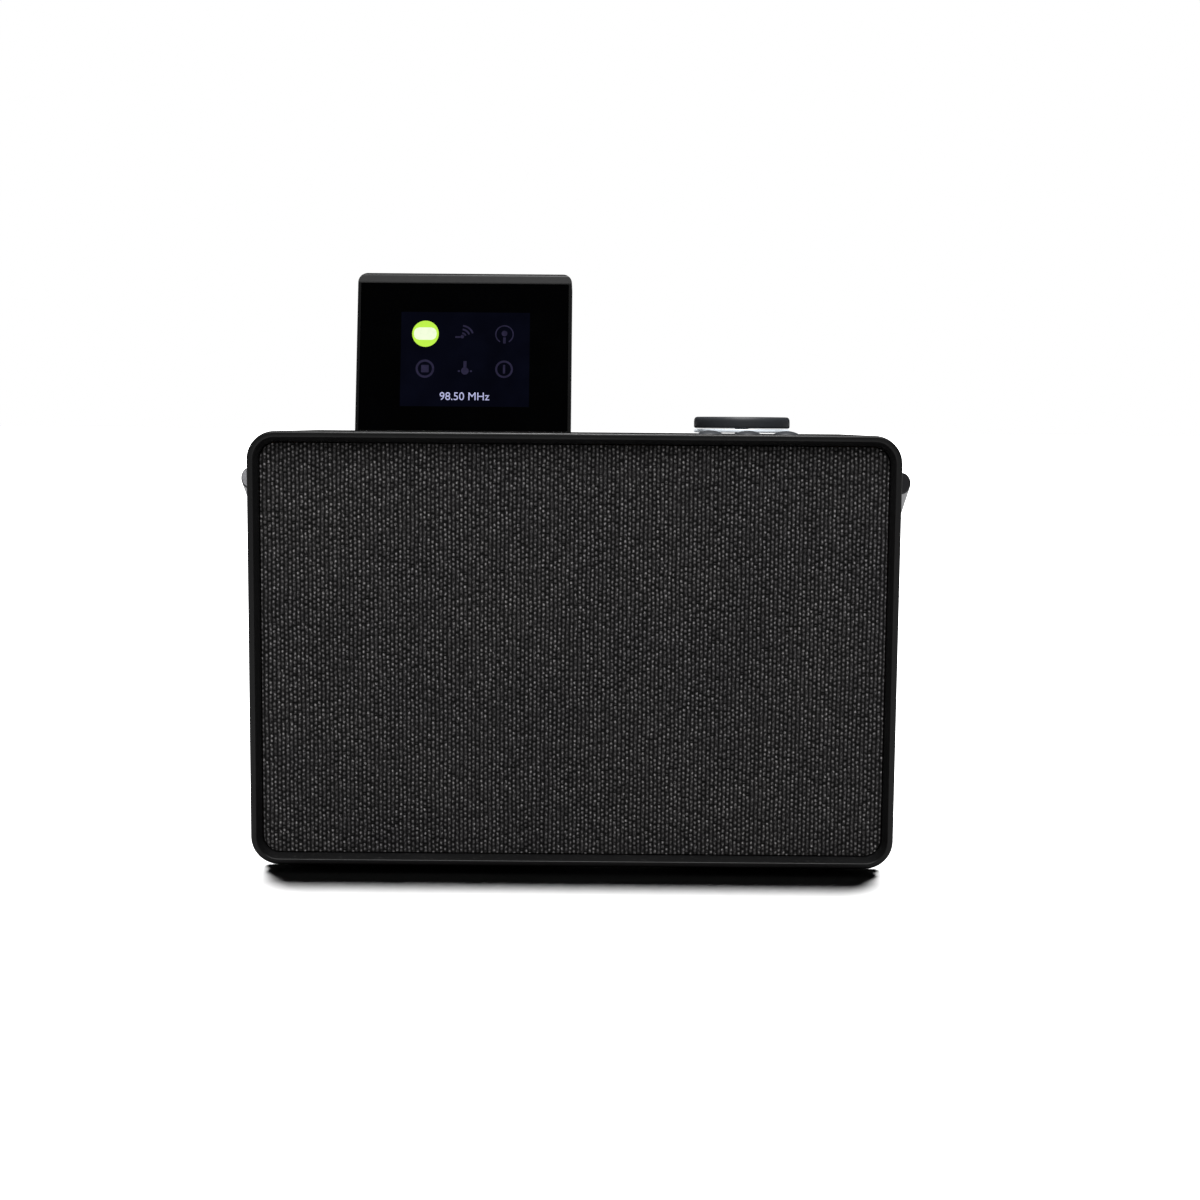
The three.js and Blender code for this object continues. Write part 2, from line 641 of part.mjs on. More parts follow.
// ---------------------------------------------------------------- aerial
const aerialAxis = [AERIAL_Y, AERIAL_Z];
const AERIAL_HUB = AERIAL_X - 9;
piece(
  "aerial_mount",
  join(
    rod("y", 5.2, COVER_BACK + GAP, COVER_BACK + 1.6, [AERIAL_X, AERIAL_Z], 24),
    rod("y", 3, COVER_FRONT - 6, COVER_BACK + 1, [AERIAL_X, AERIAL_Z], 20),
  ),
  "steel",
);
const TUBE_RADII = [3, 2.4, 1.8, 1.2]; // outermost first
piece(
  "aerial_knuckle",
  cut(
    join(
      rod("y", 4.2, COVER_BACK + 1.9, AERIAL_Y + 4, [AERIAL_X, AERIAL_Z], 20),
      box(AERIAL_HUB - 3.4, AERIAL_X, AERIAL_Y - 3.2, AERIAL_Y + 3.2, AERIAL_Z - 3.4, AERIAL_Z + 3.4),
    ),
    box(AERIAL_HUB - 6, AERIAL_X - 4.4, AERIAL_Y - 7, AERIAL_Y + 7, AERIAL_Z - 1.6, AERIAL_Z + 1.6),
    rod("z", 1 + RUNNING, AERIAL_Z - 8, AERIAL_Z + 8, [AERIAL_HUB, AERIAL_Y], 14),
  ),
  "chrome",
);
const ROOT_END = AERIAL_HUB - 5.4;
piece(
  "aerial_root",
  join(
    rod("z", 1, AERIAL_Z - 3, AERIAL_Z + 3, [AERIAL_HUB, AERIAL_Y], 14),
    rod("z", 3, AERIAL_Z - 1.3, AERIAL_Z + 1.3, [AERIAL_HUB, AERIAL_Y], 20),
    box(ROOT_END - 0.5, AERIAL_HUB, AERIAL_Y - 1.5, AERIAL_Y + 1.5, AERIAL_Z - 1.3, AERIAL_Z + 1.3),
    tube("x", TUBE_RADII[0], TUBE_RADII[0] - 0.4, ROOT_END - AERIAL_LENGTH, ROOT_END, aerialAxis, 16),
    rod("x", TUBE_RADII[0], ROOT_END - 2, ROOT_END, aerialAxis, 16),
  ),
  "chrome",
);
["lower", "middle"].forEach((level, i) => {
  const r = TUBE_RADII[i + 1];
  const low = ROOT_END - AERIAL_LENGTH - 2 * (i + 1);
  piece(
    `aerial_section_${level}`,
    tube("x", r, r - 0.4, low, ROOT_END - 3 - i, aerialAxis, 16),
    "chrome",
  );
});
piece(
  "aerial_tip",
  join(
    rod("x", TUBE_RADII[3], ROOT_END - AERIAL_LENGTH - 6, ROOT_END - 5.5, aerialAxis, 16),
    rod("x", 3, ROOT_END - AERIAL_LENGTH - 10, ROOT_END - AERIAL_LENGTH - 4.6, aerialAxis, 20),
  ),
  "chrome",
);

// ---------------------------------------------------------------- power, boards and sockets
piece("main_board", box(-100, 104, 28, COVER_FRONT - 1.5, 10.4, 12), "board");
piece("radio_module", box(-60, -16, 40, 76, 12 + GAP, 18), "steel");

const SOCKET_FRONT = 88;
const SOCKET_BACK = COVER_BACK - 0.8;
const socketZ = (PANEL.z0 + PANEL.z1) / 2;
piece(
  "socket_panel",
  cut(
    box(PANEL.x0 + GAP, PANEL.x1 - GAP, SOCKET_BACK - 1.5, SOCKET_BACK, PANEL.z0 + GAP, PANEL.z1 - GAP),
    rod("y", 4.4, SOCKET_FRONT, DEPTH, [32, socketZ], 24),
    rod("y", 3.4, SOCKET_FRONT, DEPTH, [55, socketZ], 20),
  ),
  "inner",
);
piece(
  "power_inlet",
  join(
    cut(
      box(26, 38, SOCKET_FRONT, SOCKET_BACK - 1.9, 12 + GAP, socketZ + 5),
      rod("y", 3.3, SOCKET_FRONT + 2, DEPTH, [32, socketZ], 20),
    ),
    rod("y", 0.9, SOCKET_FRONT + 1, SOCKET_BACK - 2.4, [32, socketZ], 10),
  ),
  "inner",
);
piece(
  "line_in_socket",
  cut(
    box(50, 60, SOCKET_FRONT, SOCKET_BACK - 1.9, 12 + GAP, socketZ + 4),
    rod("y", 1.9, SOCKET_FRONT + 2, DEPTH, [55, socketZ], 16),
  ),
  "inner",
);
const BAY_GAP = 1; // round the battery pack
piece(
  "battery_bay",
  cut(
    box(DOOR.x0 - 2, DOOR.x1 + 2, 74, COVER_FRONT - GAP, DOOR.z0 - 2, DOOR.z1 + 2),
    box(DOOR.x0, DOOR.x1, 76, COVER_FRONT + 1, DOOR.z0, DOOR.z1),
  ),
  "inner",
);
piece(
  "battery_pack",
  extrude(
    "y",
    roundedRect(DOOR.x0 + BAY_GAP, DOOR.z0 + BAY_GAP, DOOR.x1 - BAY_GAP, DOOR.z1 - BAY_GAP, 3),
    76 + GAP, COVER_FRONT - 1.2, null, 3,
  ),
  "battery",
);
// The door turns on a pin along its left edge, held in the cover by its two ends.
const DOOR_HINGE = { x: DOOR.x0 + 2.6, y: COVER_BACK - 1.5 };
piece(
  "battery_door",
  cut(
    join(
      box(
        DOOR_HINGE.x, DOOR.x1 - 0.4, COVER_BACK - 2.4, COVER_BACK - 0.2,
        DOOR.z0 + 0.4, DOOR.z1 - 0.4,
      ),
      rod("z", 1.5, DOOR.z0 + 0.4, DOOR.z1 - 0.4, [DOOR_HINGE.x, DOOR_HINGE.y], 16),
    ),
    box(DOOR.x1 - 12, DOOR.x1 - 8, COVER_BACK - 1.2, COVER_BACK + 1, MID_Z + 10, MID_Z + 26),
  ),
  "cabinet",
);

radio.position.set(0, -CENTRE_Y, 0);
export default radio;
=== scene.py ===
# %% [markdown]
# # A tabletop radio, piece by piece
# The radio is a rounded black cabinet with a woven front. A display stands up out of its top, a round
# knob and three small buttons sit beside it, and a bar handle is folded down behind. The solid model
# gives every piece its place and size; this lesson gives the pieces their fine shape and their finish.
# The first cell loads that model.

# %% Load the solid model
import math

import bmesh
import bpy
import numpy as np
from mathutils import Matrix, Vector


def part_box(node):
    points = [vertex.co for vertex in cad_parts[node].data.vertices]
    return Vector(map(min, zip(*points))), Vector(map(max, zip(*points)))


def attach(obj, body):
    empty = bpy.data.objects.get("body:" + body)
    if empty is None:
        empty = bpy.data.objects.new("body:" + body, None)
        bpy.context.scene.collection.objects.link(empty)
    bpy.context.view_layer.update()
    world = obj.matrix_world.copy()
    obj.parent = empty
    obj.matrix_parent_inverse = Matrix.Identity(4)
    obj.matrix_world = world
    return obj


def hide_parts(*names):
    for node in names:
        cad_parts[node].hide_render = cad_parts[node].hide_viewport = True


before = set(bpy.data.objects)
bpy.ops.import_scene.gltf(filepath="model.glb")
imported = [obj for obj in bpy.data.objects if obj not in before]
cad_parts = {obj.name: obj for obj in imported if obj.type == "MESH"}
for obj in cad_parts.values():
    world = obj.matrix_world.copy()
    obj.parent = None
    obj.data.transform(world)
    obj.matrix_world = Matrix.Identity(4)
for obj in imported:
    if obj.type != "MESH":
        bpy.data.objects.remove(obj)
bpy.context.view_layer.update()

# %% [markdown]
# ## Working in millimetres
# Product drawings are in millimetres, and Blender's unit here is the metre. The radio is drawn from its
# front face and the table top, so one small function turns a drawn point into a point of the scene.
# Places and outside sizes are read from the solid model. Radii, slopes and small steps are written here.

# %% Drawing frame
MM = 0.001
FRONT_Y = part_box("front_bezel")[0].y
shell_low, shell_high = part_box("cabinet_shell")
HALF_WIDTH = shell_high.x / MM
BOTTOM = shell_low.z / MM
TOP = shell_high.z / MM
DEPTH = (shell_high.y - FRONT_Y) / MM
CORNER = 11.5


def at(x, y, z):
    """A point drawn in millimetres from the front face and the table, in the shared frame."""
    return (x * MM, FRONT_Y + y * MM, z * MM)


def drawn_box(node):
    """A solid's box in the drawing frame: (low x, y, z), (high x, y, z) in millimetres."""
    low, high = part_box(node)
    return [(p.x / MM, (p.y - FRONT_Y) / MM, p.z / MM) for p in (low, high)]


def centre_of(low, high, *axes):
    """The middle of a box along some of its axes: 0 is x, 1 is y and 2 is z."""
    return tuple((low[axis] + high[axis]) / 2 for axis in axes)


def add_object(name, data):
    """Puts a new object in the scene, from its mesh, lamp, camera or text."""
    thing = bpy.data.objects.new(name, data)
    bpy.context.scene.collection.objects.link(thing)
    return thing


print(f"cabinet {2 * HALF_WIDTH:.0f} x {TOP - BOTTOM:.0f} x {DEPTH:.0f} mm")

# %% [markdown]
# ## Camera
# The radio is seen from straight in front, a little above its top edge, from about arm's length. A
# longer lens would flatten the display against the cabinet, and a shorter one would spread the sides.

# %% Camera
CAMERA_X = 10.07
CAMERA_DISTANCE = 700
CAMERA_HEIGHT = 183.7
CAMERA_PITCH = 5.759
CAMERA_ROLL = -0.476
LENS = 52.32
SENSOR_WIDTH = 36
camera_data = bpy.data.cameras.new("camera")
camera_data.sensor_width = SENSOR_WIDTH
camera_data.lens = LENS
camera = add_object("camera", camera_data)
camera.location = at(CAMERA_X, -CAMERA_DISTANCE, CAMERA_HEIGHT)
camera.rotation_euler = (math.radians(90 - CAMERA_PITCH), math.radians(CAMERA_ROLL), 0)
bpy.context.scene.camera = camera
print("camera at", [round(v, 3) for v in camera.location])

# %% [markdown]
# ## Light
# Black things are shown by what they reflect, so the light is planned as reflections first. A strong
# top light stands a little behind the radio and draws the bright line along the top edges. A broad soft
# light in front and above lets the weave be read. The floor has a lamp of its own, a little wider than
# the top light, so that its white and its short black shadow can be set without changing the radio.

# %% Far lights
TOP_STRENGTH = 1.9
TOP_SIZE = 8.0
TOP_TILT = -7.3
FRONT_STRENGTH = 2.15
FRONT_SIZE = 46.0
FRONT_RISE = 60.0
FLOOR_STRENGTH = 52.0
FLOOR_SIZE = 15.0
FLOOR_TILT = -13.2


def sun(name, strength, size, tilt):
    """A far light: size is its width in degrees, and tilt turns its beam from straight down to the back."""
    data = bpy.data.lights.new(name, "SUN")
    data.energy = strength
    data.angle = math.radians(size)
    lamp = add_object(name, data)
    lamp.rotation_euler = (math.radians(tilt), 0, 0)
    return lamp


top_light = sun("top light", TOP_STRENGTH, TOP_SIZE, TOP_TILT)
front_light = sun("front light", FRONT_STRENGTH, FRONT_SIZE, 90 - FRONT_RISE)
floor_light = sun("floor light", FLOOR_STRENGTH, FLOOR_SIZE, FLOOR_TILT)

# %% [markdown]
# Two bright metal pieces need something pale to reflect. A small card at the left is for the end of the
# handle, and two very wide lights, one in front and one behind, make a white tent for the knob's ring.
# The last cell but one limits each of these lights to its own piece.

# %% Small lights
RING_STRENGTH = 4.6
RING_SIZE = 170
RING_TILT = 80
CARD_POWER = 1.3
CARD_SIZE = 120
CARD_PLACE = (-290, -620, 165)
CARD_AIM = (-139, 45, 160)
ring_lights = [
    sun("ring light front", RING_STRENGTH, RING_SIZE, RING_TILT),
    sun("ring light back", RING_STRENGTH, RING_SIZE, -RING_TILT),
]
card_data = bpy.data.lights.new("left card", "AREA")
card_data.energy = CARD_POWER
card_data.size = CARD_SIZE * MM
card = add_object("left card", card_data)
card.location = at(*CARD_PLACE)
card.rotation_euler = (Vector(at(*CARD_AIM)) - card.location).to_track_quat("-Z", "Y").to_euler()
card.visible_camera = False
print("lights:", len(bpy.data.lights))

# %% [markdown]
# ## Shader helpers
# Every finish below is a Principled shader with a few textures in front of it. These helpers only save
# typing: they add a node and plug its inputs, do arithmetic, mix two colours, and start a new finish
# with the numbers that are the same all over the surface set on the shader itself.

# %% Node helpers
def plug(tree, socket, value):
    """Links a socket to a socket, or sets its number or colour."""
    if isinstance(value, bpy.types.NodeSocket):
        tree.links.new(value, socket)
    else:
        socket.default_value = value


def add_node(tree, kind, settings=None, **inputs):
    node = tree.nodes.new("ShaderNode" + kind)
    for key, value in (settings or {}).items():
        setattr(node, key, value)
    for key, value in inputs.items():
        plug(tree, node.inputs[key.replace("_", " ")], value)
    return node


# %% [markdown]
# Patterns are worked out with small sums: multiply a wave by a mask, or keep only what stands above a
# threshold. A colour is always a mix of two, so that one number can carry the pattern.

# %% Arithmetic helpers
def calc(tree, operation, a, b=0.0, clamp=False):
    node = add_node(tree, "Math", {"operation": operation, "use_clamp": clamp})
    plug(tree, node.inputs[0], a)
    plug(tree, node.inputs[1], b)
    return node.outputs[0]


def product(tree, *factors, clamp=False):
    """Multiplies a row of numbers. clamp keeps the last result between 0 and 1."""
    result = factors[0]
    for factor in factors[1:-1]:
        result = calc(tree, "MULTIPLY", result, factor)
    return calc(tree, "MULTIPLY", result, factors[-1], clamp)


def above(tree, value, threshold, gain):
    """How far a number stands above a threshold, times a gain, kept between 0 and 1."""
    return calc(tree, "MULTIPLY", calc(tree, "SUBTRACT", value, threshold), gain, clamp=True)


def mix_colour(tree, amount, a, b, blend="MIX"):
    node = add_node(tree, "Mix", {"data_type": "RGBA", "blend_type": blend})
    plug(tree, node.inputs["Factor"], amount)
    plug(tree, node.inputs[6], a)
    plug(tree, node.inputs[7], b)
    return node.outputs[2]


# %% [markdown]
# Textures are laid out in each piece's own space, so they move with the piece. Noise gives soft clouds
# from 0 to 1. A bump node turns a height into slopes, and its depth is set here in millimetres.

# %% Texture helpers
def own_place(tree):
    """The place on the piece, in the piece's own space."""
    return add_node(tree, "TexCoord").outputs["Object"]


def noise(tree, place, scale, detail=2.0):
    return add_node(tree, "TexNoise", Vector=place, Scale=scale, Detail=detail).outputs["Fac"]


def set_bump(tree, shader, height, depth):
    bump = add_node(tree, "Bump", Height=height)
    bump.inputs["Distance"].default_value = depth * MM
    plug(tree, shader.inputs["Normal"], bump.outputs[0])


def start_finish(name, **constants):
    """A material and its Principled shader, with values that are the same all over the surface."""
    material = bpy.data.materials.new(name)
    material.use_nodes = True
    shader = material.node_tree.nodes["Principled BSDF"]
    for key, value in constants.items():
        shader.inputs[key.replace("_", " ")].default_value = value
    return material, material.node_tree, shader


def grey(level, tint=(1, 1, 1)):
    """A colour from its brightness and its tint."""
    return (level * tint[0], level * tint[1], level * tint[2], 1)


# %% [markdown]
# The room seen directly is plain white, and for everything else it is dark and slightly blue. Both are
# one background shader each, and the kind of ray chooses between them.

# %% Room
ROOM_STRENGTH = 0.006
ROOM_COLOUR = (0.86, 0.93, 1.0, 1)
world = bpy.data.worlds.new("room")
bpy.context.scene.world = world
world.use_nodes = True
bpy.context.scene.view_settings.view_transform = "Standard"


def light_room():
    tree = world.node_tree
    dark = tree.nodes["Background"]
    dark.inputs["Color"].default_value = ROOM_COLOUR
    dark.inputs["Strength"].default_value = ROOM_STRENGTH
    white = add_node(tree, "Background", Strength=1.0, Color=grey(1.0))
    choose = add_node(tree, "MixShader")
    plug(tree, choose.inputs[0], add_node(tree, "LightPath").outputs["Is Camera Ray"])
    plug(tree, choose.inputs[1], dark.outputs[0])
    plug(tree, choose.inputs[2], white.outputs[0])
    plug(tree, tree.nodes["World Output"].inputs["Surface"], choose.outputs[0])


light_room()
print("room:", len(world.node_tree.nodes), "nodes")

# %% [markdown]
# ## Shared effects
# Moulded plastic, paint and metal all have the same three small faults: a fine grain, edges that are
# polished lighter by hands, and a little dust on whatever faces up. Each is a node group, built once
# and given its own scale and strength in every material. A group puts out heights and masks only.

# %% Grain
def start_group(name, inputs, outputs):
    group = bpy.data.node_groups.new(name, "ShaderNodeTree")
    for label, value in inputs.items():
        socket = group.interface.new_socket(label, in_out="INPUT", socket_type="NodeSocketFloat")
        socket.default_value = value
    for label in outputs:
        group.interface.new_socket(label, in_out="OUTPUT", socket_type="NodeSocketFloat")
    return group, group.nodes.new("NodeGroupInput").outputs, group.nodes.new("NodeGroupOutput").inputs


def grain_group():
    group, given, out = start_group("grain", {"Scale": 3000.0, "Stretch": 1.0}, ["Height", "Patches"])
    place = own_place(group)
    parts = add_node(group, "SeparateXYZ", Vector=place).outputs
    squeezed = calc(group, "DIVIDE", parts["X"], given["Stretch"])
    stretched = add_node(group, "CombineXYZ", X=squeezed, Y=parts["Y"], Z=parts["Z"]).outputs[0]
    plug(group, out["Height"], noise(group, stretched, given["Scale"]))
    plug(group, out["Patches"], noise(group, place, 45.0, 3.0))
    return group


# %% [markdown]
# Worn edges follow the pointiness of the mesh, broken up by a noise so that the wear isn't a drawn line.
# Dust lies only where the surface faces up, in specks. Both could be painted by hand, but masks that
# follow the shape stay right when the shape changes.

# %% Wear and dust
def wear_group():
    group, given, out = start_group("edge wear", {"Reach": 0.06, "Amount": 1.0}, ["Mask"])
    sharp = calc(group, "SUBTRACT", add_node(group, "NewGeometry").outputs["Pointiness"], 0.5)
    edge = calc(group, "DIVIDE", sharp, given["Reach"], clamp=True)
    broken = noise(group, own_place(group), 260.0, 4.0)
    plug(group, out["Mask"], product(group, edge, broken, given["Amount"], clamp=True))
    return group


def dust_group():
    group, given, out = start_group("dust", {"Amount": 0.5}, ["Mask"])
    facing = add_node(group, "SeparateXYZ", Vector=add_node(group, "NewGeometry").outputs["Normal"])
    up = calc(group, "POWER", calc(group, "MAXIMUM", facing.outputs["Z"], 0.0), 3.0)
    specks = above(group, noise(group, own_place(group), 900.0, 5.0), 0.58, 5.0)
    plug(group, out["Mask"], product(group, up, specks, given["Amount"], clamp=True))
    return group


EFFECTS = {"grain": grain_group(), "wear": wear_group(), "dust": dust_group()}


def effect(tree, name, **values):
    node = tree.nodes.new("ShaderNodeGroup")
    node.node_tree = EFFECTS[name]
    for key, value in values.items():
        plug(tree, node.inputs[key], value)
    return node.outputs


print("shared effects:", ", ".join(EFFECTS))

# %% [markdown]
# ## Finishes
# Most of the radio is black, but not one black: the painted cabinet is satin, the front ring and the
# display case are finer and darker, the back is a coarse moulded texture, and the knob and the buttons
# are a paler, bluer black. One function makes them all from a colour, a roughness and a grain, so that
# they stay related, as parts from one maker are.

# %% Moulded finish
DUST_ROUGHNESS = 0.3


def aged(tree, grain, stretch, wear, dust):
    """The three shared effects for one finish: its texture, its worn edges and its dust."""
    texture = effect(tree, "grain", Scale=grain, Stretch=stretch)
    return texture, effect(tree, "wear", Amount=wear)["Mask"], effect(tree, "dust", Amount=dust)["Mask"]


def set_roughness(tree, shader, roughness, pattern, spread, dusty):
    """A roughness that a pattern varies on both sides of its middle, and that dust raises."""
    uneven = calc(tree, "MULTIPLY_ADD", pattern, spread)
    uneven.node.inputs[2].default_value = roughness - spread / 2
    raised = calc(tree, "ADD", uneven, calc(tree, "MULTIPLY", dusty, DUST_ROUGHNESS))
    plug(tree, shader.inputs["Roughness"], raised)


def moulded(name, colour, roughness, grain, depth, wear=0.3, dust=0.3, specular=0.5, stretch=1.0):
    material, tree, shader = start_finish(name, Specular_IOR_Level=specular)
    texture, worn, dusty = aged(tree, grain, stretch, wear, dust)
    shade = mix_colour(tree, texture["Patches"], grey(0.82, colour), grey(1.15, colour))
    rubbed = mix_colour(tree, worn, shade, grey(0.05))
    plug(tree, shader.inputs["Base Color"], mix_colour(tree, dusty, rubbed, grey(0.25, (1, 0.98, 0.95))))
    set_roughness(tree, shader, roughness, texture["Patches"], 0.12, dusty)
    set_bump(tree, shader, texture["Height"], depth)
    return material


# %% [markdown]
# Each finish is one line: its colour, its roughness, how fine its grain is and the grain's depth in
# millimetres. A higher specular value shines more at the same roughness. The display case gets a low
# one, because it has to stay black under the top light.

# %% Plastics, paint and rubber
FINISH = {
    "cabinet": moulded("satin paint", (0.0085, 0.0085, 0.009), 0.36, 2600, 0.012, specular=0.4),
    "trim": moulded("fine black", (0.0075, 0.0075, 0.0078), 0.34, 3200, 0.01, specular=0.35, dust=0.15),
    "display case": moulded(
        "display black", (0.0075, 0.0075, 0.0078), 0.36, 3200, 0.01, specular=0.12, dust=0.15
    ),
    "back": moulded("textured black", (0.011, 0.011, 0.0115), 0.52, 1500, 0.05, specular=0.4),
    "inner": moulded("inner black", (0.008, 0.008, 0.008), 0.55, 2000, 0.02, specular=0.35),
    "rubber": moulded("rubber", (0.012, 0.012, 0.012), 0.78, 1800, 0.03, wear=0.5, specular=0.3),
    "board": moulded("circuit board", (0.01, 0.06, 0.022), 0.4, 1200, 0.01, wear=0.0),
    "fibreboard": moulded("fibreboard", (0.17, 0.1, 0.055), 0.8, 900, 0.08, wear=0.0, stretch=6),
    "sleeve": moulded("battery sleeve", (0.02, 0.045, 0.12), 0.35, 700, 0.02, wear=0.0),
    "cone": moulded("paper pulp", (0.014, 0.014, 0.014), 0.85, 1600, 0.06, wear=0.0, stretch=3),
    "enamel": moulded("grey enamel", (0.05, 0.05, 0.055), 0.45, 1400, 0.02),
    "switch": moulded("button black", (0.052, 0.056, 0.064), 0.46, 2600, 0.006, specular=0.45, dust=0.1),
}
print(len(FINISH), "plastics and paints")

# %% [markdown]
# The metals are a turned aluminium bar with dark end faces, bright plating on the aerial, satin
# plating on the knob's foot, and zinc plated steel for screws and pins. Turning leaves fine lines along
# one direction, which a noise squeezed along the other direction gives. It changes the roughness as
# well as the surface's slope.

# %% Metals
def metal(name, colour, roughness, grain, depth, stretch=1.0, wear=0.2, dust=0.15):
    material, tree, shader = start_finish(name, Metallic=1.0)
    texture, worn, dusty = aged(tree, grain, stretch, wear, dust)
    shade = mix_colour(tree, texture["Patches"], grey(0.93, colour), grey(1.04, colour))
    plug(tree, shader.inputs["Base Color"], mix_colour(tree, worn, shade, grey(1.2, colour)))
    set_roughness(tree, shader, roughness, texture["Height"], 0.16, dusty)
    set_bump(tree, shader, texture["Height"], depth)
    return material


FINISH.update({
    "bar": metal("satin aluminium", (0.42, 0.42, 0.43), 0.36, 2400, 0.006, stretch=8),
    "plating": metal("bright plating", (0.8, 0.83, 0.88), 0.14, 1500, 0.002),
    "foot ring": metal("satin plating", (0.78, 0.84, 0.9), 0.38, 1500, 0.002),
    "plug": metal("dark end face", (0.055, 0.055, 0.058), 0.34, 2400, 0.004),
    "zinc": metal("zinc plate", (0.45, 0.46, 0.48), 0.34, 1700, 0.008),
})
print(len(FINISH), "plastics and metals")

# %% [markdown]
# The display's window is black glass: ink is printed behind it, so nothing shows through except the
# lit picture. A thin film of finger marks changes only its roughness.

# %% Glass and the lit picture
def black_glass():
    material, tree, shader = start_finish("black glass", Specular_IOR_Level=0.35, Coat_Weight=0.15)
    texture = effect(tree, "grain", Scale=140.0)
    smear = calc(tree, "SUBTRACT", texture["Patches"], 0.45, clamp=True)
    plug(tree, shader.inputs["Roughness"], calc(tree, "ADD", calc(tree, "MULTIPLY", smear, 0.25), 0.05))
    ink = mix_colour(tree, texture["Patches"], grey(0.0006), grey(0.0012, (0.9, 0.95, 1.2)))
    plug(tree, shader.inputs["Base Color"], ink)
    return material


def lit(name, colour, strength, uneven=0.15, scale=420.0):
    """A part of the picture. The dots of the screen make its brightness slightly uneven."""
    material, tree, shader = start_finish(
        name, Emission_Strength=strength, Roughness=0.06, Specular_IOR_Level=0.08
    )
    dots = noise(tree, own_place(tree), scale)
    lowered = mix_colour(tree, dots, grey(1 - uneven, colour), grey(1 + uneven, colour))
    plug(tree, shader.inputs["Emission Color"], lowered)
    plug(tree, shader.inputs["Base Color"], mix_colour(tree, dots, grey(0.0005), grey(0.001)))
    return material


FINISH.update({
    "glass": black_glass(),
    "picture": lit("dim picture", (0.28, 0.34, 1.0), 0.0052, uneven=0.5, scale=90.0),
    "selected": lit("lit green", (0.56, 0.95, 0.08), 0.95, uneven=0.08),
    "selected band": lit("lit white", (0.9, 1.0, 0.72), 1.0, uneven=0.1, scale=500.0),
    "symbols": lit("dim symbols", (0.42, 0.37, 0.85), 0.048, uneven=0.5),
    "caption": lit("lit caption", (0.62, 0.64, 1.0), 0.75, uneven=0.1),
})
print(len(FINISH), "finishes with the glass and the picture")

# %% [markdown]
# ## The weave's finish
# The front is a plain weave of charcoal yarn: upright ribs, with a light fleck where each yarn comes to
# the surface. The flecks of neighbouring ribs are half a step apart. The pattern is worked out from the
# position alone, with two random numbers for each fleck. The first sets how light the fleck is and moves
# it along its rib. The second leans it to one side and sets how dark the painted shade beyond it is.

# %% Weave pattern
RIB_PITCH = 1.655
FLECK_PITCH = 2.0


def wave(tree, value):
    """Half a sine wave: 0 at both ends of a step, and 1 in its middle."""
    return calc(tree, "SINE", calc(tree, "MULTIPLY", value, math.pi))


def about_zero(tree, value, spread):
    """Turns a number from 0 to 1 into one that lies on both sides of zero."""
    return calc(tree, "MULTIPLY", calc(tree, "SUBTRACT", value, 0.5), spread)


def dice(tree, x, y, z=0.0):
    """One random number for each cell."""
    cell = add_node(tree, "CombineXYZ", X=x, Y=y, Z=z).outputs[0]
    return add_node(tree, "TexWhiteNoise", {"noise_dimensions": "3D"}, Vector=cell).outputs["Value"]


def weave_pattern(tree, place):
    """The number of the rib, the waves across and along it, and the fleck's two random numbers."""
    parts = add_node(tree, "SeparateXYZ", Vector=place).outputs
    drift = about_zero(tree, noise(tree, place, 70.0), 0.5)
    across = calc(tree, "ADD", calc(tree, "DIVIDE", parts["X"], RIB_PITCH * MM), drift)
    rib = calc(tree, "FLOOR", across)
    half_step = calc(tree, "MULTIPLY", calc(tree, "FLOORED_MODULO", rib, 2.0), 0.5)
    along = calc(tree, "ADD", calc(tree, "DIVIDE", parts["Z"], FLECK_PITCH * MM), half_step)
    fleck = calc(tree, "FLOOR", along)
    first, second = dice(tree, rib, fleck), dice(tree, fleck, rib, 7.0)
    within = calc(tree, "FRACT", across)
    leaning = calc(tree, "ADD", within, about_zero(tree, second, 0.3))
    shifted = calc(tree, "FRACT", calc(tree, "ADD", along, about_zero(tree, first, 0.5)))
    return rib, wave(tree, within), wave(tree, leaning), wave(tree, shifted), first, second
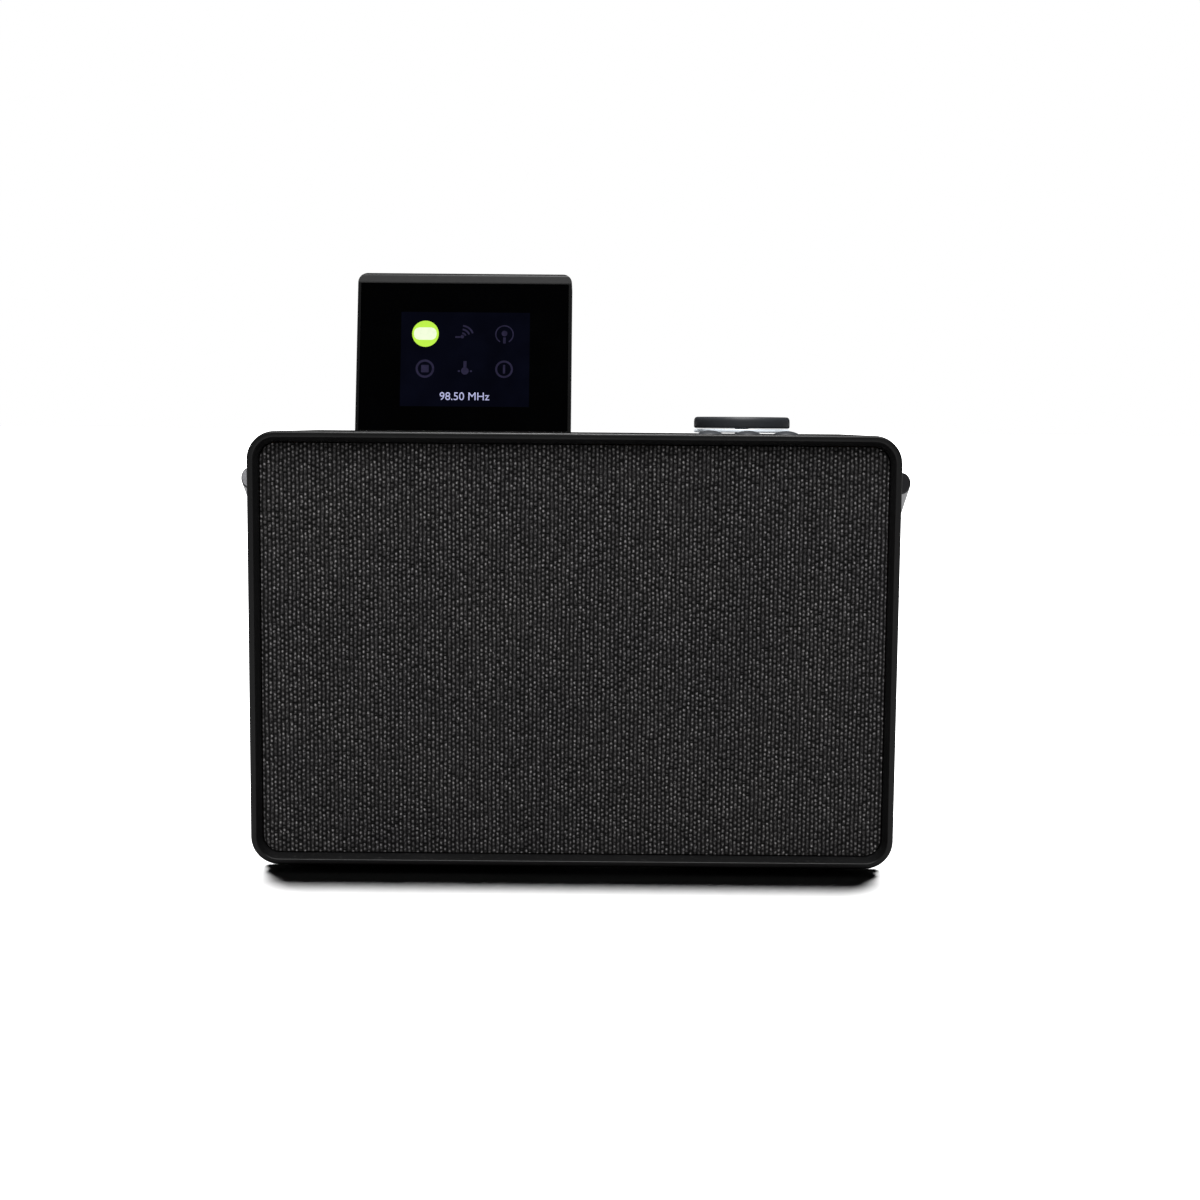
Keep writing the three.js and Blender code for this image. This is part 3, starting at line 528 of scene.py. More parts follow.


# %% [markdown]
# The colour comes from three layers. The rib's round back is dark grey on its crest, and painted shade
# darkens it to black down its sides, in the gaps and in a pit between flecks. The fleck's tip gets a
# painted highlight, pale where loose fibres would catch the light. A run of yarn with few tufts has
# weaker painted highlights and shallower painted pits, and a slow cloud changes the tone a little over
# the whole front.

# %% Woven cloth
def woven_cloth():
    material, tree, shader = start_finish(
        "woven cloth", Specular_IOR_Level=0.06, Sheen_Weight=0.03, Sheen_Roughness=0.6
    )
    place = own_place(tree)
    rib, rib_wave, tip_wave, fleck_wave, first, second = weave_pattern(tree, place)
    parts = add_node(tree, "SeparateXYZ", Vector=place).outputs
    slower = calc(tree, "MULTIPLY", parts["Z"], 0.5)
    strands = add_node(tree, "CombineXYZ", X=parts["X"], Y=parts["Y"], Z=slower).outputs[0]
    fuzz = noise(tree, strands, 2000.0, 3.0)
    fibre = above(tree, fuzz, 0.36, 4.0)
    run = add_node(tree, "CombineXYZ", X=product(tree, rib, 3.7), Z=product(tree, parts["Z"], 70.0))
    tufted = above(tree, noise(tree, run.outputs[0], 1.0, 1.0), 0.2, 3.0)

    # Painted highlight: a narrow pale tip on the crest of each fleck, made uneven by the fibres and the
    # first dice.
    narrow = calc(tree, "POWER", calc(tree, "MAXIMUM", tip_wave, 0.0), 5.0)
    bright = product(tree, calc(tree, "POWER", first, 1.3), fibre, 1.9)
    tip = product(tree, narrow, calc(tree, "POWER", fleck_wave, 4.0))
    light = product(tree, tip, tufted, calc(tree, "ADD", bright, 0.1), clamp=True)

    # Painted shade: a dark pit between the flecks along each rib, deeper or shallower by the second dice and
    # the tufts.
    low = calc(tree, "SUBTRACT", 1.0, fleck_wave)
    painted_pit_shade = product(tree, low, calc(tree, "ADD", second, 0.25), tufted, 1.15, clamp=True)
    covered = calc(tree, "ADD", calc(tree, "MULTIPLY", fibre, 0.85), 0.1)
    # Painted shade: the rib's colour darkens towards its sides and falls to black in the gaps and the pits.
    raised = product(tree, calc(tree, "POWER", rib_wave, 1.8), calc(tree, "SUBTRACT", 1.0, painted_pit_shade), covered)

    back = mix_colour(tree, raised, grey(0.006), grey(0.122, (1, 0.955, 0.99)))
    yarn = mix_colour(tree, light, back, grey(0.56, (1, 0.97, 0.99)))
    cloud = noise(tree, place, 18.0, 3.0)
    tone = mix_colour(tree, cloud, grey(0.75, (1, 1, 1.04)), grey(1.2, (1, 0.99, 0.95)))
    plug(tree, shader.inputs["Base Color"], mix_colour(tree, 1.0, yarn, tone, blend="MULTIPLY"))
    plug(tree, shader.inputs["Roughness"], calc(tree, "ADD", calc(tree, "MULTIPLY", fuzz, 0.2), 0.75))
    set_bump(tree, shader, calc(tree, "ADD", fuzz, calc(tree, "MULTIPLY", light, 1.5)), 0.12)
    return material


FINISH["cloth"] = woven_cloth()
print(len(FINISH), "finishes")

# %% [markdown]
# ## Mesh helpers
# Nearly everything here is one of three shapes: an outline carried through a row of rings (loft), a
# profile turned about an axis (turn), or a round section carried along a path (sweep). Sharp corners
# never come out of a mould, so profiles are softened first, and every mesh is shaded smooth except
# across real edges.

# %% Outlines
def soften(corners, steps=4, closed=True):
    """A polygon or line of (a, b, radius) corners, each rounded by about its radius."""
    count = len(corners)
    softened = []
    for i, (a, b, radius) in enumerate(corners):
        here = Vector((a, b))
        if radius == 0 or (not closed and i in (0, count - 1)):
            softened.append((a, b))
            continue
        before = Vector(corners[i - 1][:2]) - here
        after = Vector(corners[(i + 1) % count][:2]) - here
        start = here + before.normalized() * min(radius, before.length * 0.49)
        end = here + after.normalized() * min(radius, after.length * 0.49)
        for k in range(steps + 1):
            t = k / steps
            p = start * (1 - t) ** 2 + here * (2 * t * (1 - t)) + end * t**2
            softened.append((p.x, p.y))
    return softened


def rounded_ring(x0, z0, x1, z1, radius, steps=14):
    """The points of a rectangle with round corners, counter-clockwise."""
    centres = [(x1 - radius, z0 + radius), (x1 - radius, z1 - radius),
               (x0 + radius, z1 - radius), (x0 + radius, z0 + radius)]
    ring = []
    for quarter, (cx, cz) in enumerate(centres):
        for k in range(steps + 1):
            angle = math.radians(90 * (quarter - 1) + 90 * k / steps)
            ring.append((cx + radius * math.cos(angle), cz + radius * math.sin(angle)))
    return ring


# %% [markdown]
# Each shape is a list of rings with the same number of points. Neighbouring rings are joined with
# four-sided faces, and an open row gets a flat cap at each end.

# %% Rings to a mesh
SHARP_ANGLE = math.radians(32)


def finish_mesh(name, points, faces):
    """A mesh piece from drawn points, with merged doubles, outward faces and smooth shading."""
    mesh = bpy.data.meshes.new(name)
    mesh.from_pydata([at(*p) for p in points], [], faces)
    shaped = bmesh.new()
    shaped.from_mesh(mesh)
    bmesh.ops.remove_doubles(shaped, verts=shaped.verts, dist=1e-7)
    bmesh.ops.dissolve_degenerate(shaped, edges=shaped.edges, dist=1e-7)
    bmesh.ops.recalc_face_normals(shaped, faces=shaped.faces)
    shaped.to_mesh(mesh)
    shaped.free()
    mesh.shade_smooth()
    mesh.set_sharp_from_angle(angle=SHARP_ANGLE)
    return add_object(name, mesh)


def loft(name, rings, closed=False):
    """Skins a row of rings that have the same number of points. closed joins the last to the first."""
    count = len(rings[0])
    points = [p for ring in rings for p in ring]
    faces = []
    for i in range(len(rings) if closed else len(rings) - 1):
        a = i * count
        b = (i + 1) % len(rings) * count
        for k in range(count):
            n = (k + 1) % count
            faces.append((a + k, a + n, b + n, b + k))
    if not closed:
        faces.append(tuple(range(count)))
        faces.append(tuple(range(len(points) - count, len(points))))
    return finish_mesh(name, points, faces)


# %% [markdown]
# The three kinds of shape only differ in how their rings are drawn. The same could be done with curve
# objects or with screw modifiers, but plain points keep every edge where the drawing puts it.

# %% Blocks, turned parts and bars
def on_axis(axis, a, b, along):
    """A point at (a, b) across an axis and some way along it."""
    return {"x": (along, a, b), "y": (a, along, b), "z": (a, b, along)}[axis]


def block(name, ring, low, high, axis="z"):
    """An outline pulled straight from low to high along an axis."""
    return loft(name, [[on_axis(axis, a, b, along) for a, b in ring] for along in (low, high)])


def disc(x, up, radius, steps=40):
    """The points of a circle."""
    spins = [2 * math.pi * k / steps for k in range(steps)]
    return [(x + radius * math.cos(spin), up + radius * math.sin(spin)) for spin in spins]


def turn(name, profile, centre, axis="z", segments=64):
    """Turns (radius, height) points about an axis. A profile that ends off the axis is a closed ring."""
    rings = [
        [on_axis(axis, a, b, height) for a, b in disc(*centre, radius, segments)]
        for radius, height in profile
    ]
    return loft(name, rings, closed=profile[0][0] > 0 and profile[-1][0] > 0)


def sweep(name, path, radius, segments):
    """A round bar along a path of points."""
    path = [Vector(p) for p in path]
    side = (path[1] - path[0]).orthogonal().normalized()
    rings = []
    for i, point in enumerate(path):
        tangent = (path[min(i + 1, len(path) - 1)] - path[max(i - 1, 0)]).normalized()
        side = (side - tangent * side.dot(tangent)).normalized()
        up = tangent.cross(side)
        rings.append([tuple(point + side * a + up * b) for a, b in disc(0, 0, radius, segments)])
    return loft(name, rings)


# %% [markdown]
# Cut-outs are made with the exact boolean, and the new edges get a narrow bevel, because a razor edge
# catches no light.

# %% Cutting
BEVEL_ANGLE = math.radians(38)


def apply_steps(piece):
    """Makes a piece's modifiers part of its mesh."""
    result = piece.evaluated_get(bpy.context.evaluated_depsgraph_get())
    mesh = bpy.data.meshes.new_from_object(result)
    piece.modifiers.clear()
    piece.data = mesh


def soften_edges(piece, width):
    step = piece.modifiers.new("soft edges", "BEVEL")
    step.width = width * MM
    step.segments = 2
    step.limit_method = "ANGLE"
    step.angle_limit = BEVEL_ANGLE
    step.use_clamp_overlap = True
    flat = piece.modifiers.new("flat faces stay flat", "WEIGHTED_NORMAL")
    flat.keep_sharp = True


def carve(piece, tools, operation="DIFFERENCE", edge=0.3):
    """Cuts the tools out of a piece, then softens the edges that the cut has left."""
    for tool in tools:
        step = piece.modifiers.new("carve", "BOOLEAN")
        step.operation = operation
        step.solver = "EXACT"
        step.object = tool
    apply_steps(piece)
    piece.data.shade_smooth()
    piece.data.set_sharp_from_angle(angle=SHARP_ANGLE)
    for tool in tools:
        bpy.data.objects.remove(tool)
    if edge:
        soften_edges(piece, edge)
        apply_steps(piece)


# %% [markdown]
# At the end each piece is dressed: it gets its finish, the body that it moves with, and the solid that it
# stands for. A solid whose shape is already right stays as it is, and is only refinished.

# %% Dressing
def dress(piece, finish, body, slot, *nodes):
    """Gives a piece its finish, its body and the solids that it stands for. The slot is not used."""
    piece.data.materials.clear()
    piece.data.materials.append(FINISH[finish])
    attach(piece, body)
    if nodes:
        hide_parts(*nodes)
    return piece


def keep(node, finish, edge=0.0):
    """A solid whose shape is right stays, with a new finish and, if it shows, soft edges."""
    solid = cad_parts[node]
    solid.material_slots[0].material = FINISH[finish]
    if edge:
        soften_edges(solid, edge)


# %% [markdown]
# ## Front ring
# The ring round the cloth is a moulding with a full round outside, a narrow flat, and a slope that runs
# down to the cloth. Its section is drawn once as (distance in from the outside, depth, roundness) and
# carried round the cabinet's outline, which shrinks as the section moves in.

# %% Front ring
RING_DEPTH = drawn_box("front_bezel")[1][1]
RING_SECTION = [
    (0, RING_DEPTH, 0.25), (0, 0, 1.15), (2.35, 0, 0.35), (4.3, 3.7, 0.5), (4.3, RING_DEPTH, 0.1)
]


def outline(inset):
    """The cabinet's outline seen from the front, moved in by a distance."""
    radius = max(CORNER - inset, 0.6)
    return rounded_ring(-HALF_WIDTH + inset, BOTTOM + inset, HALF_WIDTH - inset, TOP - inset, radius)


def framed(name, section, steps=5):
    """A section carried round the cabinet's outline."""
    rings = [[(x, depth, z) for x, z in outline(inset)] for inset, depth in soften(section, steps)]
    return loft(name, rings, closed=True)


bezel = dress(framed("front_ring", RING_SECTION, steps=6), "trim", "cabinet", "trim", "front_bezel")
print("front ring:", len(bezel.data.polygons), "faces")

# %% [markdown]
# ## Cabinet
# The cabinet is one band bent round all four sides, so it is the same kind of carried section: a thin
# wall with a hairline gap behind the front ring. The recess for the display and the holes for the knob
# and the buttons are cut afterwards, and the cut edges get a small round as a painted edge has.

# %% Cabinet
WALL = 3
WELL_WALL = 1.6
CUT_LOW = TOP - 8
CUT_HIGH = TOP + 4
SHAFT_HOLE = 4.6
BUTTON_RADIUS = 5.8
BUTTON_GAP = 0.3
well_low, well_high = drawn_box("display_well")
knob_low, knob_high = drawn_box("knob_cap")
KNOB = centre_of(knob_low, knob_high, 0, 1)
BUTTONS = {
    name: centre_of(*drawn_box("button_" + name), 0, 1) for name in ("left", "middle", "right")
}


def round_tool(radius, centre, segments=64):
    """A short rod that cuts a round hole in the top."""
    rod = [(0, CUT_LOW), (radius, CUT_LOW), (radius, CUT_HIGH), (0, CUT_HIGH)]
    return turn("hole tool", rod, centre, segments=segments)


seam = drawn_box("cabinet_shell")[0][1]
shell = framed("cabinet", [(0, seam, 0.3), (0, DEPTH, 1.4), (WALL, DEPTH, 0.4), (WALL, seam, 0.2)])
opening = rounded_ring(
    well_low[0] + WELL_WALL, well_low[1] + WELL_WALL, well_high[0] - WELL_WALL, well_high[1] - WELL_WALL,
    radius=1.2, steps=6,
)
tools = [block("well tool", opening, CUT_LOW, CUT_HIGH), round_tool(SHAFT_HOLE, KNOB)]
tools += [round_tool(BUTTON_RADIUS + BUTTON_GAP, centre, segments=48) for centre in BUTTONS.values()]
carve(shell, tools)
dress(shell, "cabinet", "cabinet", "cabinet", "cabinet_shell")
keep("display_well", "inner", edge=0.3)
print("cabinet:", len(shell.data.polygons), "faces after", len(BUTTONS) + 2, "cuts")

# %% [markdown]
# ## The stretched cloth
# A flat plane with a bump texture looks printed on when light grazes it. The cloth is a fine grid
# instead, lifted by two waves with the pitches of the finish: ribs across, and flecks along each rib.
# The random shifts are left to the finish, which is finer than the grid. Grid points that fall outside
# a rounded corner are drawn in to its arc, so the edge stays clean.

# %% Cloth corners
CLOTH_INSET = 4.8
CLOTH_LIFT = 0.32
CLOTH_CLEAR = 0.1
POINTS_PER_STEP = 4
cloth_low, cloth_high = drawn_box("grille_cloth")


def pull_corners(x, z):
    """Moves the points beyond each rounded corner to its arc, and marks them."""
    radius = CORNER - CLOTH_INSET
    middle = (cloth_low[2] + cloth_high[2]) / 2
    out_x = np.maximum(np.abs(x) - (cloth_high[0] - radius), 0)
    out_z = np.maximum(np.abs(z - middle) - (cloth_high[2] - middle - radius), 0)
    reach = np.hypot(out_x, out_z)
    outside = (out_x > 0) & (out_z > 0) & (reach > radius)
    left_over = 1 - np.where(outside, radius / np.maximum(reach, 1e-9), 1)
    return x - np.sign(x) * out_x * left_over, z - np.sign(z - middle) * out_z * left_over, outside


# %% [markdown]
# The lift is subtracted from the depth, because the front face looks towards smaller y. The highest
# threads stay a tenth of a millimetre behind the front of the solid that the cloth stands for. A quad is
# left out when all four of its corners were drawn in, since nothing of it would be left.

# %% Cloth mesh
def cloth_grid():
    """The points of the woven sheet, and the quads between them."""
    columns = int((cloth_high[0] - cloth_low[0]) / RIB_PITCH * POINTS_PER_STEP)
    rows = int((cloth_high[2] - cloth_low[2]) / FLECK_PITCH * POINTS_PER_STEP)
    x, z = np.meshgrid(
        np.linspace(cloth_low[0], cloth_high[0], columns + 1),
        np.linspace(cloth_low[2], cloth_high[2], rows + 1),
        indexing="ij",
    )
    rib = x / RIB_PITCH
    half_step = np.mod(np.floor(rib), 2) * 0.5
    rib_wave = np.sin(np.pi * (rib % 1))
    fleck_wave = np.sin(np.pi * ((z / FLECK_PITCH + half_step) % 1))
    lift = CLOTH_LIFT * rib_wave * (0.55 + 0.45 * fleck_wave)
    y = cloth_low[1] + CLOTH_LIFT + CLOTH_CLEAR - lift
    x, z, outside = pull_corners(x, z)
    points = np.stack([x, y, z], axis=-1).reshape(-1, 3)
    corner = np.arange(points.shape[0]).reshape(x.shape)
    quads = np.stack([corner[:-1, :-1], corner[1:, :-1], corner[1:, 1:], corner[:-1, 1:]], axis=-1)
    lost = outside.reshape(-1)[quads].all(axis=-1)
    return points, quads[~lost]


points, quads = cloth_grid()
mesh = bpy.data.meshes.new("cloth")
mesh.from_pydata([at(*p) for p in points], [], quads.tolist())
mesh.shade_smooth()
cloth = dress(add_object("cloth", mesh), "cloth", "cabinet", "cloth", "grille_cloth")
print("cloth:", len(quads), "faces")

# %% [markdown]
# ## Display case
# The case leans back from its hinge. It is drawn upright in its own frame - across, out of the back,
# and up from the hinge - and one function leans every point. The side view is a barrel round the hinge
# pin, a flat back, and a long sloping lip at the top that a finger catches to fold it down.

# %% Display frame
LEAN = math.radians(11.3)
THICK = 12
BACK = THICK / 2
FACE = -THICK / 2
LID_LENGTH = 78.2
LID_RIM = 1.4
LID_CORNER = 5.2
BARREL_STEPS = 24
GLASS_LOW = 5.0
GLASS_TOP = 72.6
SEAT_DEPTH = 1.8
HINGE = centre_of(*drawn_box("display_hinge_pin_left"), 1, 2)
lid_low, lid_high = drawn_box("display_lid")
LID_X = centre_of(lid_low, lid_high, 0)[0]
LID_HALF = (lid_high[0] - lid_low[0]) / 2
SEAT_HALF = LID_HALF - LID_RIM


def lean(piece):
    """Turns a piece drawn upright about the hinge (x, out of the back, up) into its place."""
    for vertex in piece.data.vertices:
        x, back, up = vertex.co.x / MM, (vertex.co.y - FRONT_Y) / MM, vertex.co.z / MM
        y = HINGE[0] + back * math.cos(LEAN) + up * math.sin(LEAN)
        z = HINGE[1] - back * math.sin(LEAN) + up * math.cos(LEAN)
        vertex.co = at(LID_X + x, y, z)
    return piece


# %% [markdown]
# The side view is pulled across the whole width first. Then the front view's round corners are cut by
# keeping only what lies inside a silhouette, and a shallow seat is cut for the glass.

# %% Display case
def display_case():
    spins = [math.pi * (1 + k / BARREL_STEPS) for k in range(BARREL_STEPS + 1)]
    barrel = [(BACK * math.cos(spin), BACK * math.sin(spin)) for spin in spins]
    upper = soften([
        (BACK, 0, 0), (BACK, LID_LENGTH, 2.0), (FACE + 3.0, LID_LENGTH, 1.2),
        (FACE + 1.3, LID_LENGTH - 1.4, 0.8), (FACE, GLASS_TOP + 0.5, 0.5), (FACE, 0, 0),
    ], closed=False)
    case = block("display_case", barrel + upper[1:-1], -LID_HALF, LID_HALF, axis="x")
    silhouette = rounded_ring(-LID_HALF, -30, LID_HALF, LID_LENGTH, LID_CORNER, 10)
    carve(case, [block("silhouette", silhouette, FACE - 5, BACK + 5, axis="y")], "INTERSECT", edge=0)
    seat = rounded_ring(-SEAT_HALF, GLASS_LOW, SEAT_HALF, GLASS_TOP, 0.4, 3)
    carve(case, [block("seat", seat, FACE - 3, FACE + SEAT_DEPTH, axis="y")], edge=0.35)
    return lean(case)


dress(display_case(), "display case", "display", "trim", "display_lid")
print(f"display case {2 * LID_HALF:.1f} mm wide, leaning {math.degrees(LEAN):.1f} degrees")

# %% [markdown]
# The window is a separate sheet of glass, set a hair below the rim so that the rim protects it.

# %% Window
GLASS_GAP = 0.15
GLASS_FRONT = FACE + 0.25
GLASS_BACK = FACE + 1.4
pane = rounded_ring(
    -SEAT_HALF + GLASS_GAP, GLASS_LOW + GLASS_GAP, SEAT_HALF - GLASS_GAP, GLASS_TOP - GLASS_GAP, 0.5, 3
)
window = block("window", pane, GLASS_FRONT, GLASS_BACK, axis="y")
soften_edges(window, 0.12)
apply_steps(window)
dress(lean(window), "glass", "display", "glass", "display_glass")
print(f"glass {GLASS_BACK - GLASS_FRONT:.2f} mm thick")

# %% [markdown]
# ## The lit picture
# The screen shows a menu: six small symbols, the chosen one bright green, with a line of figures below.
# Each is a thin shape that lies on the window and glows. The symbols are plain shapes of this lesson's
# own: rings, bars, dots and arcs.

# %% Picture shapes
PICTURE_X = 0.5
PICTURE_UP = 37.8
PICTURE_LIFT = 0.03
FILM = 0.02


def film(name, outlines, finish, layer=1):
    """Thin closed shapes lying on the window, from outlines round the picture's centre."""
    points, faces = [], []
    front = GLASS_FRONT - PICTURE_LIFT * layer
    for ring in outlines:
        start = len(points)
        count = len(ring)
        for depth in (front, front + FILM):
            points += [(PICTURE_X + a, depth, PICTURE_UP + b) for a, b in ring]
        faces.append(tuple(start + k for k in range(count)))
        faces.append(tuple(start + count + k for k in reversed(range(count))))
        for k in range(count):
            n = (k + 1) % count
            faces.append((start + k, start + count + k, start + count + n, start + n))
    return dress(lean(finish_mesh(name, points, faces)), finish, "display", "lcd")


def arc(x, up, radius, width, start, end, steps=24):
    """A band bent round a point, from one angle to another in degrees."""
    spins = [math.radians(start + (end - start) * k / steps) for k in range(steps + 1)]
    outer = [(x + radius * math.cos(spin), up + radius * math.sin(spin)) for spin in spins]
    inner = [(x + (radius - width) * math.cos(s), up + (radius - width) * math.sin(s)) for s in spins]
    return outer + inner[::-1]


def bar(x0, up0, x1, up1, radius=0.25):
    return rounded_ring(x0, up0, x1, up1, radius, 3)


# %% [markdown]
# The picture is a dim rectangle with a bright green disc and a white band for the chosen symbol. The
# other five are plain marks drawn from their own middles: three waves, an open ring, a ring round a
# square, a dot with a stem, and a ring round a bar.

# %% Picture
PICTURE_WIDTH = 58.0
PICTURE_HEIGHT = 43.2
SYMBOL_X = (-18.0, 0.0, 17.6)
SYMBOL_UP = (11.6, -4.4)
half_w, half_h = PICTURE_WIDTH / 2, PICTURE_HEIGHT / 2
film("screen_picture", [bar(-half_w, -half_h, half_w, half_h)], "picture")
x, up = SYMBOL_X[0], SYMBOL_UP[0]
film("screen_selected", [disc(x, up, 6.0)], "selected", layer=2)
film("screen_selected_band", [bar(x - 5.2, up - 2.8, x + 5.0, up + 2.9, 2.4)], "selected band", layer=3)

x = SYMBOL_X[1]
symbols = [arc(x - 1.6, up - 1.4, 2.2 + 1.7 * k, 0.8, 20, 85) for k in range(3)]
symbols += [bar(x - 4.6, up - 1.8, x - 2.2, up - 1.0), disc(x - 1.4, up - 1.2, 0.8)]
x = SYMBOL_X[2]
symbols += [arc(x, up, 4.2, 0.55, -60, 240), disc(x, up + 0.4, 1.3)]
symbols += [bar(x - 0.6, up - 4.2, x + 0.6, up - 1.4)]
x, up = SYMBOL_X[0], SYMBOL_UP[1]
symbols += [arc(x, up, 4.2, 1.0, 0, 359), bar(x - 1.7, up - 1.7, x + 1.7, up + 1.7)]
x = SYMBOL_X[1]
symbols += [disc(x, up - 0.9, 1.7), bar(x - 0.7, up + 0.6, x + 0.7, up + 3.6)]
symbols += [bar(x - 3.2, up - 1.4, x - 2.2, up - 0.6), bar(x + 2.2, up - 1.4, x + 3.2, up - 0.6)]
x = SYMBOL_X[2]
symbols += [arc(x, up, 4.0, 0.9, 0, 359), bar(x - 0.5, up - 2.0, x + 0.5, up + 2.0)]
film("screen_symbols", symbols, "symbols", layer=2)
print("symbols:", len(symbols), "shapes")

# %% [markdown]
# The line of figures comes from Blender's own text object, turned into a mesh and given a little depth
# like the other shapes.

# %% Caption
CAPTION = "98.50 MHz"
CAPTION_WIDTH = 22.3
CAPTION_UP = -16.9
words = bpy.data.curves.new("screen_caption", "FONT")
words.body = CAPTION
words.size = 1.0
text_object = add_object("caption text", words)
bpy.context.view_layer.update()
flat = bpy.data.meshes.new_from_object(text_object.evaluated_get(bpy.context.evaluated_depsgraph_get()))
letters = np.array([tuple(v.co) for v in flat.vertices])
scale = CAPTION_WIDTH / np.ptp(letters[:, 0])
middle = (letters.max(0) + letters.min(0)) / 2
letter_depth = GLASS_FRONT - 2 * PICTURE_LIFT
letter_points = [
    (PICTURE_X + (a - middle[0]) * scale, letter_depth, PICTURE_UP + CAPTION_UP + (b - middle[1]) * scale)
    for a, b, _ in letters
]
bpy.data.objects.remove(text_object)
caption = finish_mesh("screen_caption", letter_points, [tuple(p.vertices) for p in flat.polygons])
thicken = caption.modifiers.new("film", "SOLIDIFY")
thicken.thickness = FILM * MM
thicken.offset = 0
apply_steps(caption)
dress(lean(caption), "caption", "display", "lcd")
print("caption:", len(CAPTION), "characters")

# %% [markdown]
# ## Knob
# The knob is a low drum with a rounded shoulder and a very slightly dished top, turned on a lathe. It
# stands on a plated ring. The top carries fine turned circles, which are real grooves here.

# %% Knob
KNOB_RADIUS = (knob_high[0] - knob_low[0]) / 2
KNOB_TOP = knob_high[2]
DISH_RADIUS = 17.4
DISH_DEPTH = 0.8
GROOVE_START = 17.0
GROOVE_PITCH = 0.8
GROOVE_DEPTH = 0.04
cap_profile = soften([
    (0, knob_low[2], 0), (KNOB_RADIUS - 0.5, knob_low[2], 0.3), (KNOB_RADIUS, knob_low[2] + 0.5, 0.4),
    (KNOB_RADIUS, KNOB_TOP, 2.2), (DISH_RADIUS, KNOB_TOP, 0.3),
], closed=False)
radius = GROOVE_START
while radius > 1.0:
    drop = DISH_DEPTH * (1 - (radius / DISH_RADIUS) ** 2)
    cap_profile.append((radius, KNOB_TOP - drop - GROOVE_DEPTH))
    cap_profile.append((radius - GROOVE_PITCH / 2, KNOB_TOP - drop))
    radius -= GROOVE_PITCH
cap_profile.append((0, KNOB_TOP - DISH_DEPTH))
dress(turn("knob", cap_profile, KNOB, segments=96), "switch", "knob", "trim", "knob_cap")

FOOT_RADIUS = KNOB_RADIUS - 0.1
SHAFT_RADIUS = 3.4
foot_low, foot_high = drawn_box("knob_ring")
foot_profile = soften([
    (SHAFT_RADIUS, foot_low[2], 0), (FOOT_RADIUS, foot_low[2], 0.25),
    (FOOT_RADIUS, foot_high[2], 0.25), (SHAFT_RADIUS, foot_high[2], 0),
])
foot_ring = turn("knob_foot_ring", foot_profile, KNOB, segments=96)
dress(foot_ring, "foot ring", "knob", "chrome", "knob_ring")
print(f"knob {2 * KNOB_RADIUS:.1f} mm across")

# %% [markdown]
# ## Buttons
# Each button is a shallow dome on a straight stem, with a flange under the deck that stops it falling
# out. The dome is a flattened curve with its steepest part at the rim, so it catches one soft highlight.

# %% Buttons
STEM_RADIUS = 1.6
FLANGE_RADIUS = 6.9
FLANGE_LOW = TOP - 6.4
FLANGE_HIGH = TOP - 5.1
DOME_STEPS = 16
for side_name, centre in BUTTONS.items():
    low, high = drawn_box("button_" + side_name)
    crown = high[2] - TOP
    profile = [(0, low[2]), (STEM_RADIUS, low[2]), (STEM_RADIUS, FLANGE_LOW), (FLANGE_RADIUS, FLANGE_LOW)]
    profile += [(FLANGE_RADIUS, FLANGE_HIGH), (BUTTON_RADIUS, FLANGE_HIGH), (BUTTON_RADIUS, TOP - 0.2)]
    for k in range(1, DOME_STEPS + 1):
        share = 1 - k / DOME_STEPS
        profile.append((BUTTON_RADIUS * share, TOP - 0.1 + (crown + 0.1) * (1 - share**2.2)))
    piece = turn("button_cap_" + side_name, profile, centre, segments=56)
    dress(piece, "switch", "button_" + side_name, "trim", "button_" + side_name)
print(f"buttons rise {crown:.1f} mm")

# %% [markdown]
# ## Carry handle
# The handle is one round bar. From a flat cut end in front of each pivot it slopes down to the back,
# bends to run down behind the cabinet, and turns the corner into the crossbar. The path is made of
# straight runs and smooth bends, and the round section is carried along it.

# %% Handle path
bar_low, bar_high = drawn_box("handle_bar")
grip_low, grip_high = drawn_box("handle_grip")
BAR_RADIUS = 3.85
BAR_SLOPE = math.radians(32)
BAR_X = bar_high[0] - BAR_RADIUS
BAR_BACK, BAR_LOW = centre_of(grip_low, grip_high, 1, 2)
BAR_FRONT = bar_low[1]
BAR_BEND = 30
BAR_CORNER = 18
BEND_STEPS = 14
FRONT_HEIGHT = 159.8
OVERRUN = 6


def bend(start, through, end):
    """The points of a smooth bend between two straight runs, without its last point."""
    a, b, c = Vector(start), Vector(through), Vector(end)
    ts = [k / BEND_STEPS for k in range(BEND_STEPS)]
    return [tuple(a * (1 - t) ** 2 + b * 2 * t * (1 - t) + c * t * t) for t in ts]


def handle_side(x):
    """One side of the bar, from a little before its front end to the start of the crossbar."""
    drop = math.tan(BAR_SLOPE)
    elbow = FRONT_HEIGHT - (BAR_BACK - BAR_FRONT) * drop
    lead = BAR_BEND * math.tan((math.pi / 2 - BAR_SLOPE) / 2)
    entry = BAR_BACK - lead * math.cos(BAR_SLOPE)
    entry_height = FRONT_HEIGHT - (entry - BAR_FRONT) * drop
    inward = x - math.copysign(BAR_CORNER, x)
    crossbar = (inward, BAR_BACK, BAR_LOW)
    side = [(x, BAR_FRONT - OVERRUN, FRONT_HEIGHT + OVERRUN * drop)]
    side += bend((x, entry, entry_height), (x, BAR_BACK, elbow), (x, BAR_BACK, elbow - lead))
    side += bend((x, BAR_BACK, BAR_LOW + BAR_CORNER), (x, BAR_BACK, BAR_LOW), crossbar)
    return side + [crossbar]


print("handle path:", len(handle_side(BAR_X)), "points a side")

# %% [markdown]
# The bar is drawn a little too long in front and cut off upright, which leaves the tall oval face of a
# slanted cut. The two cut faces are dark, so they get a second material on the same mesh.

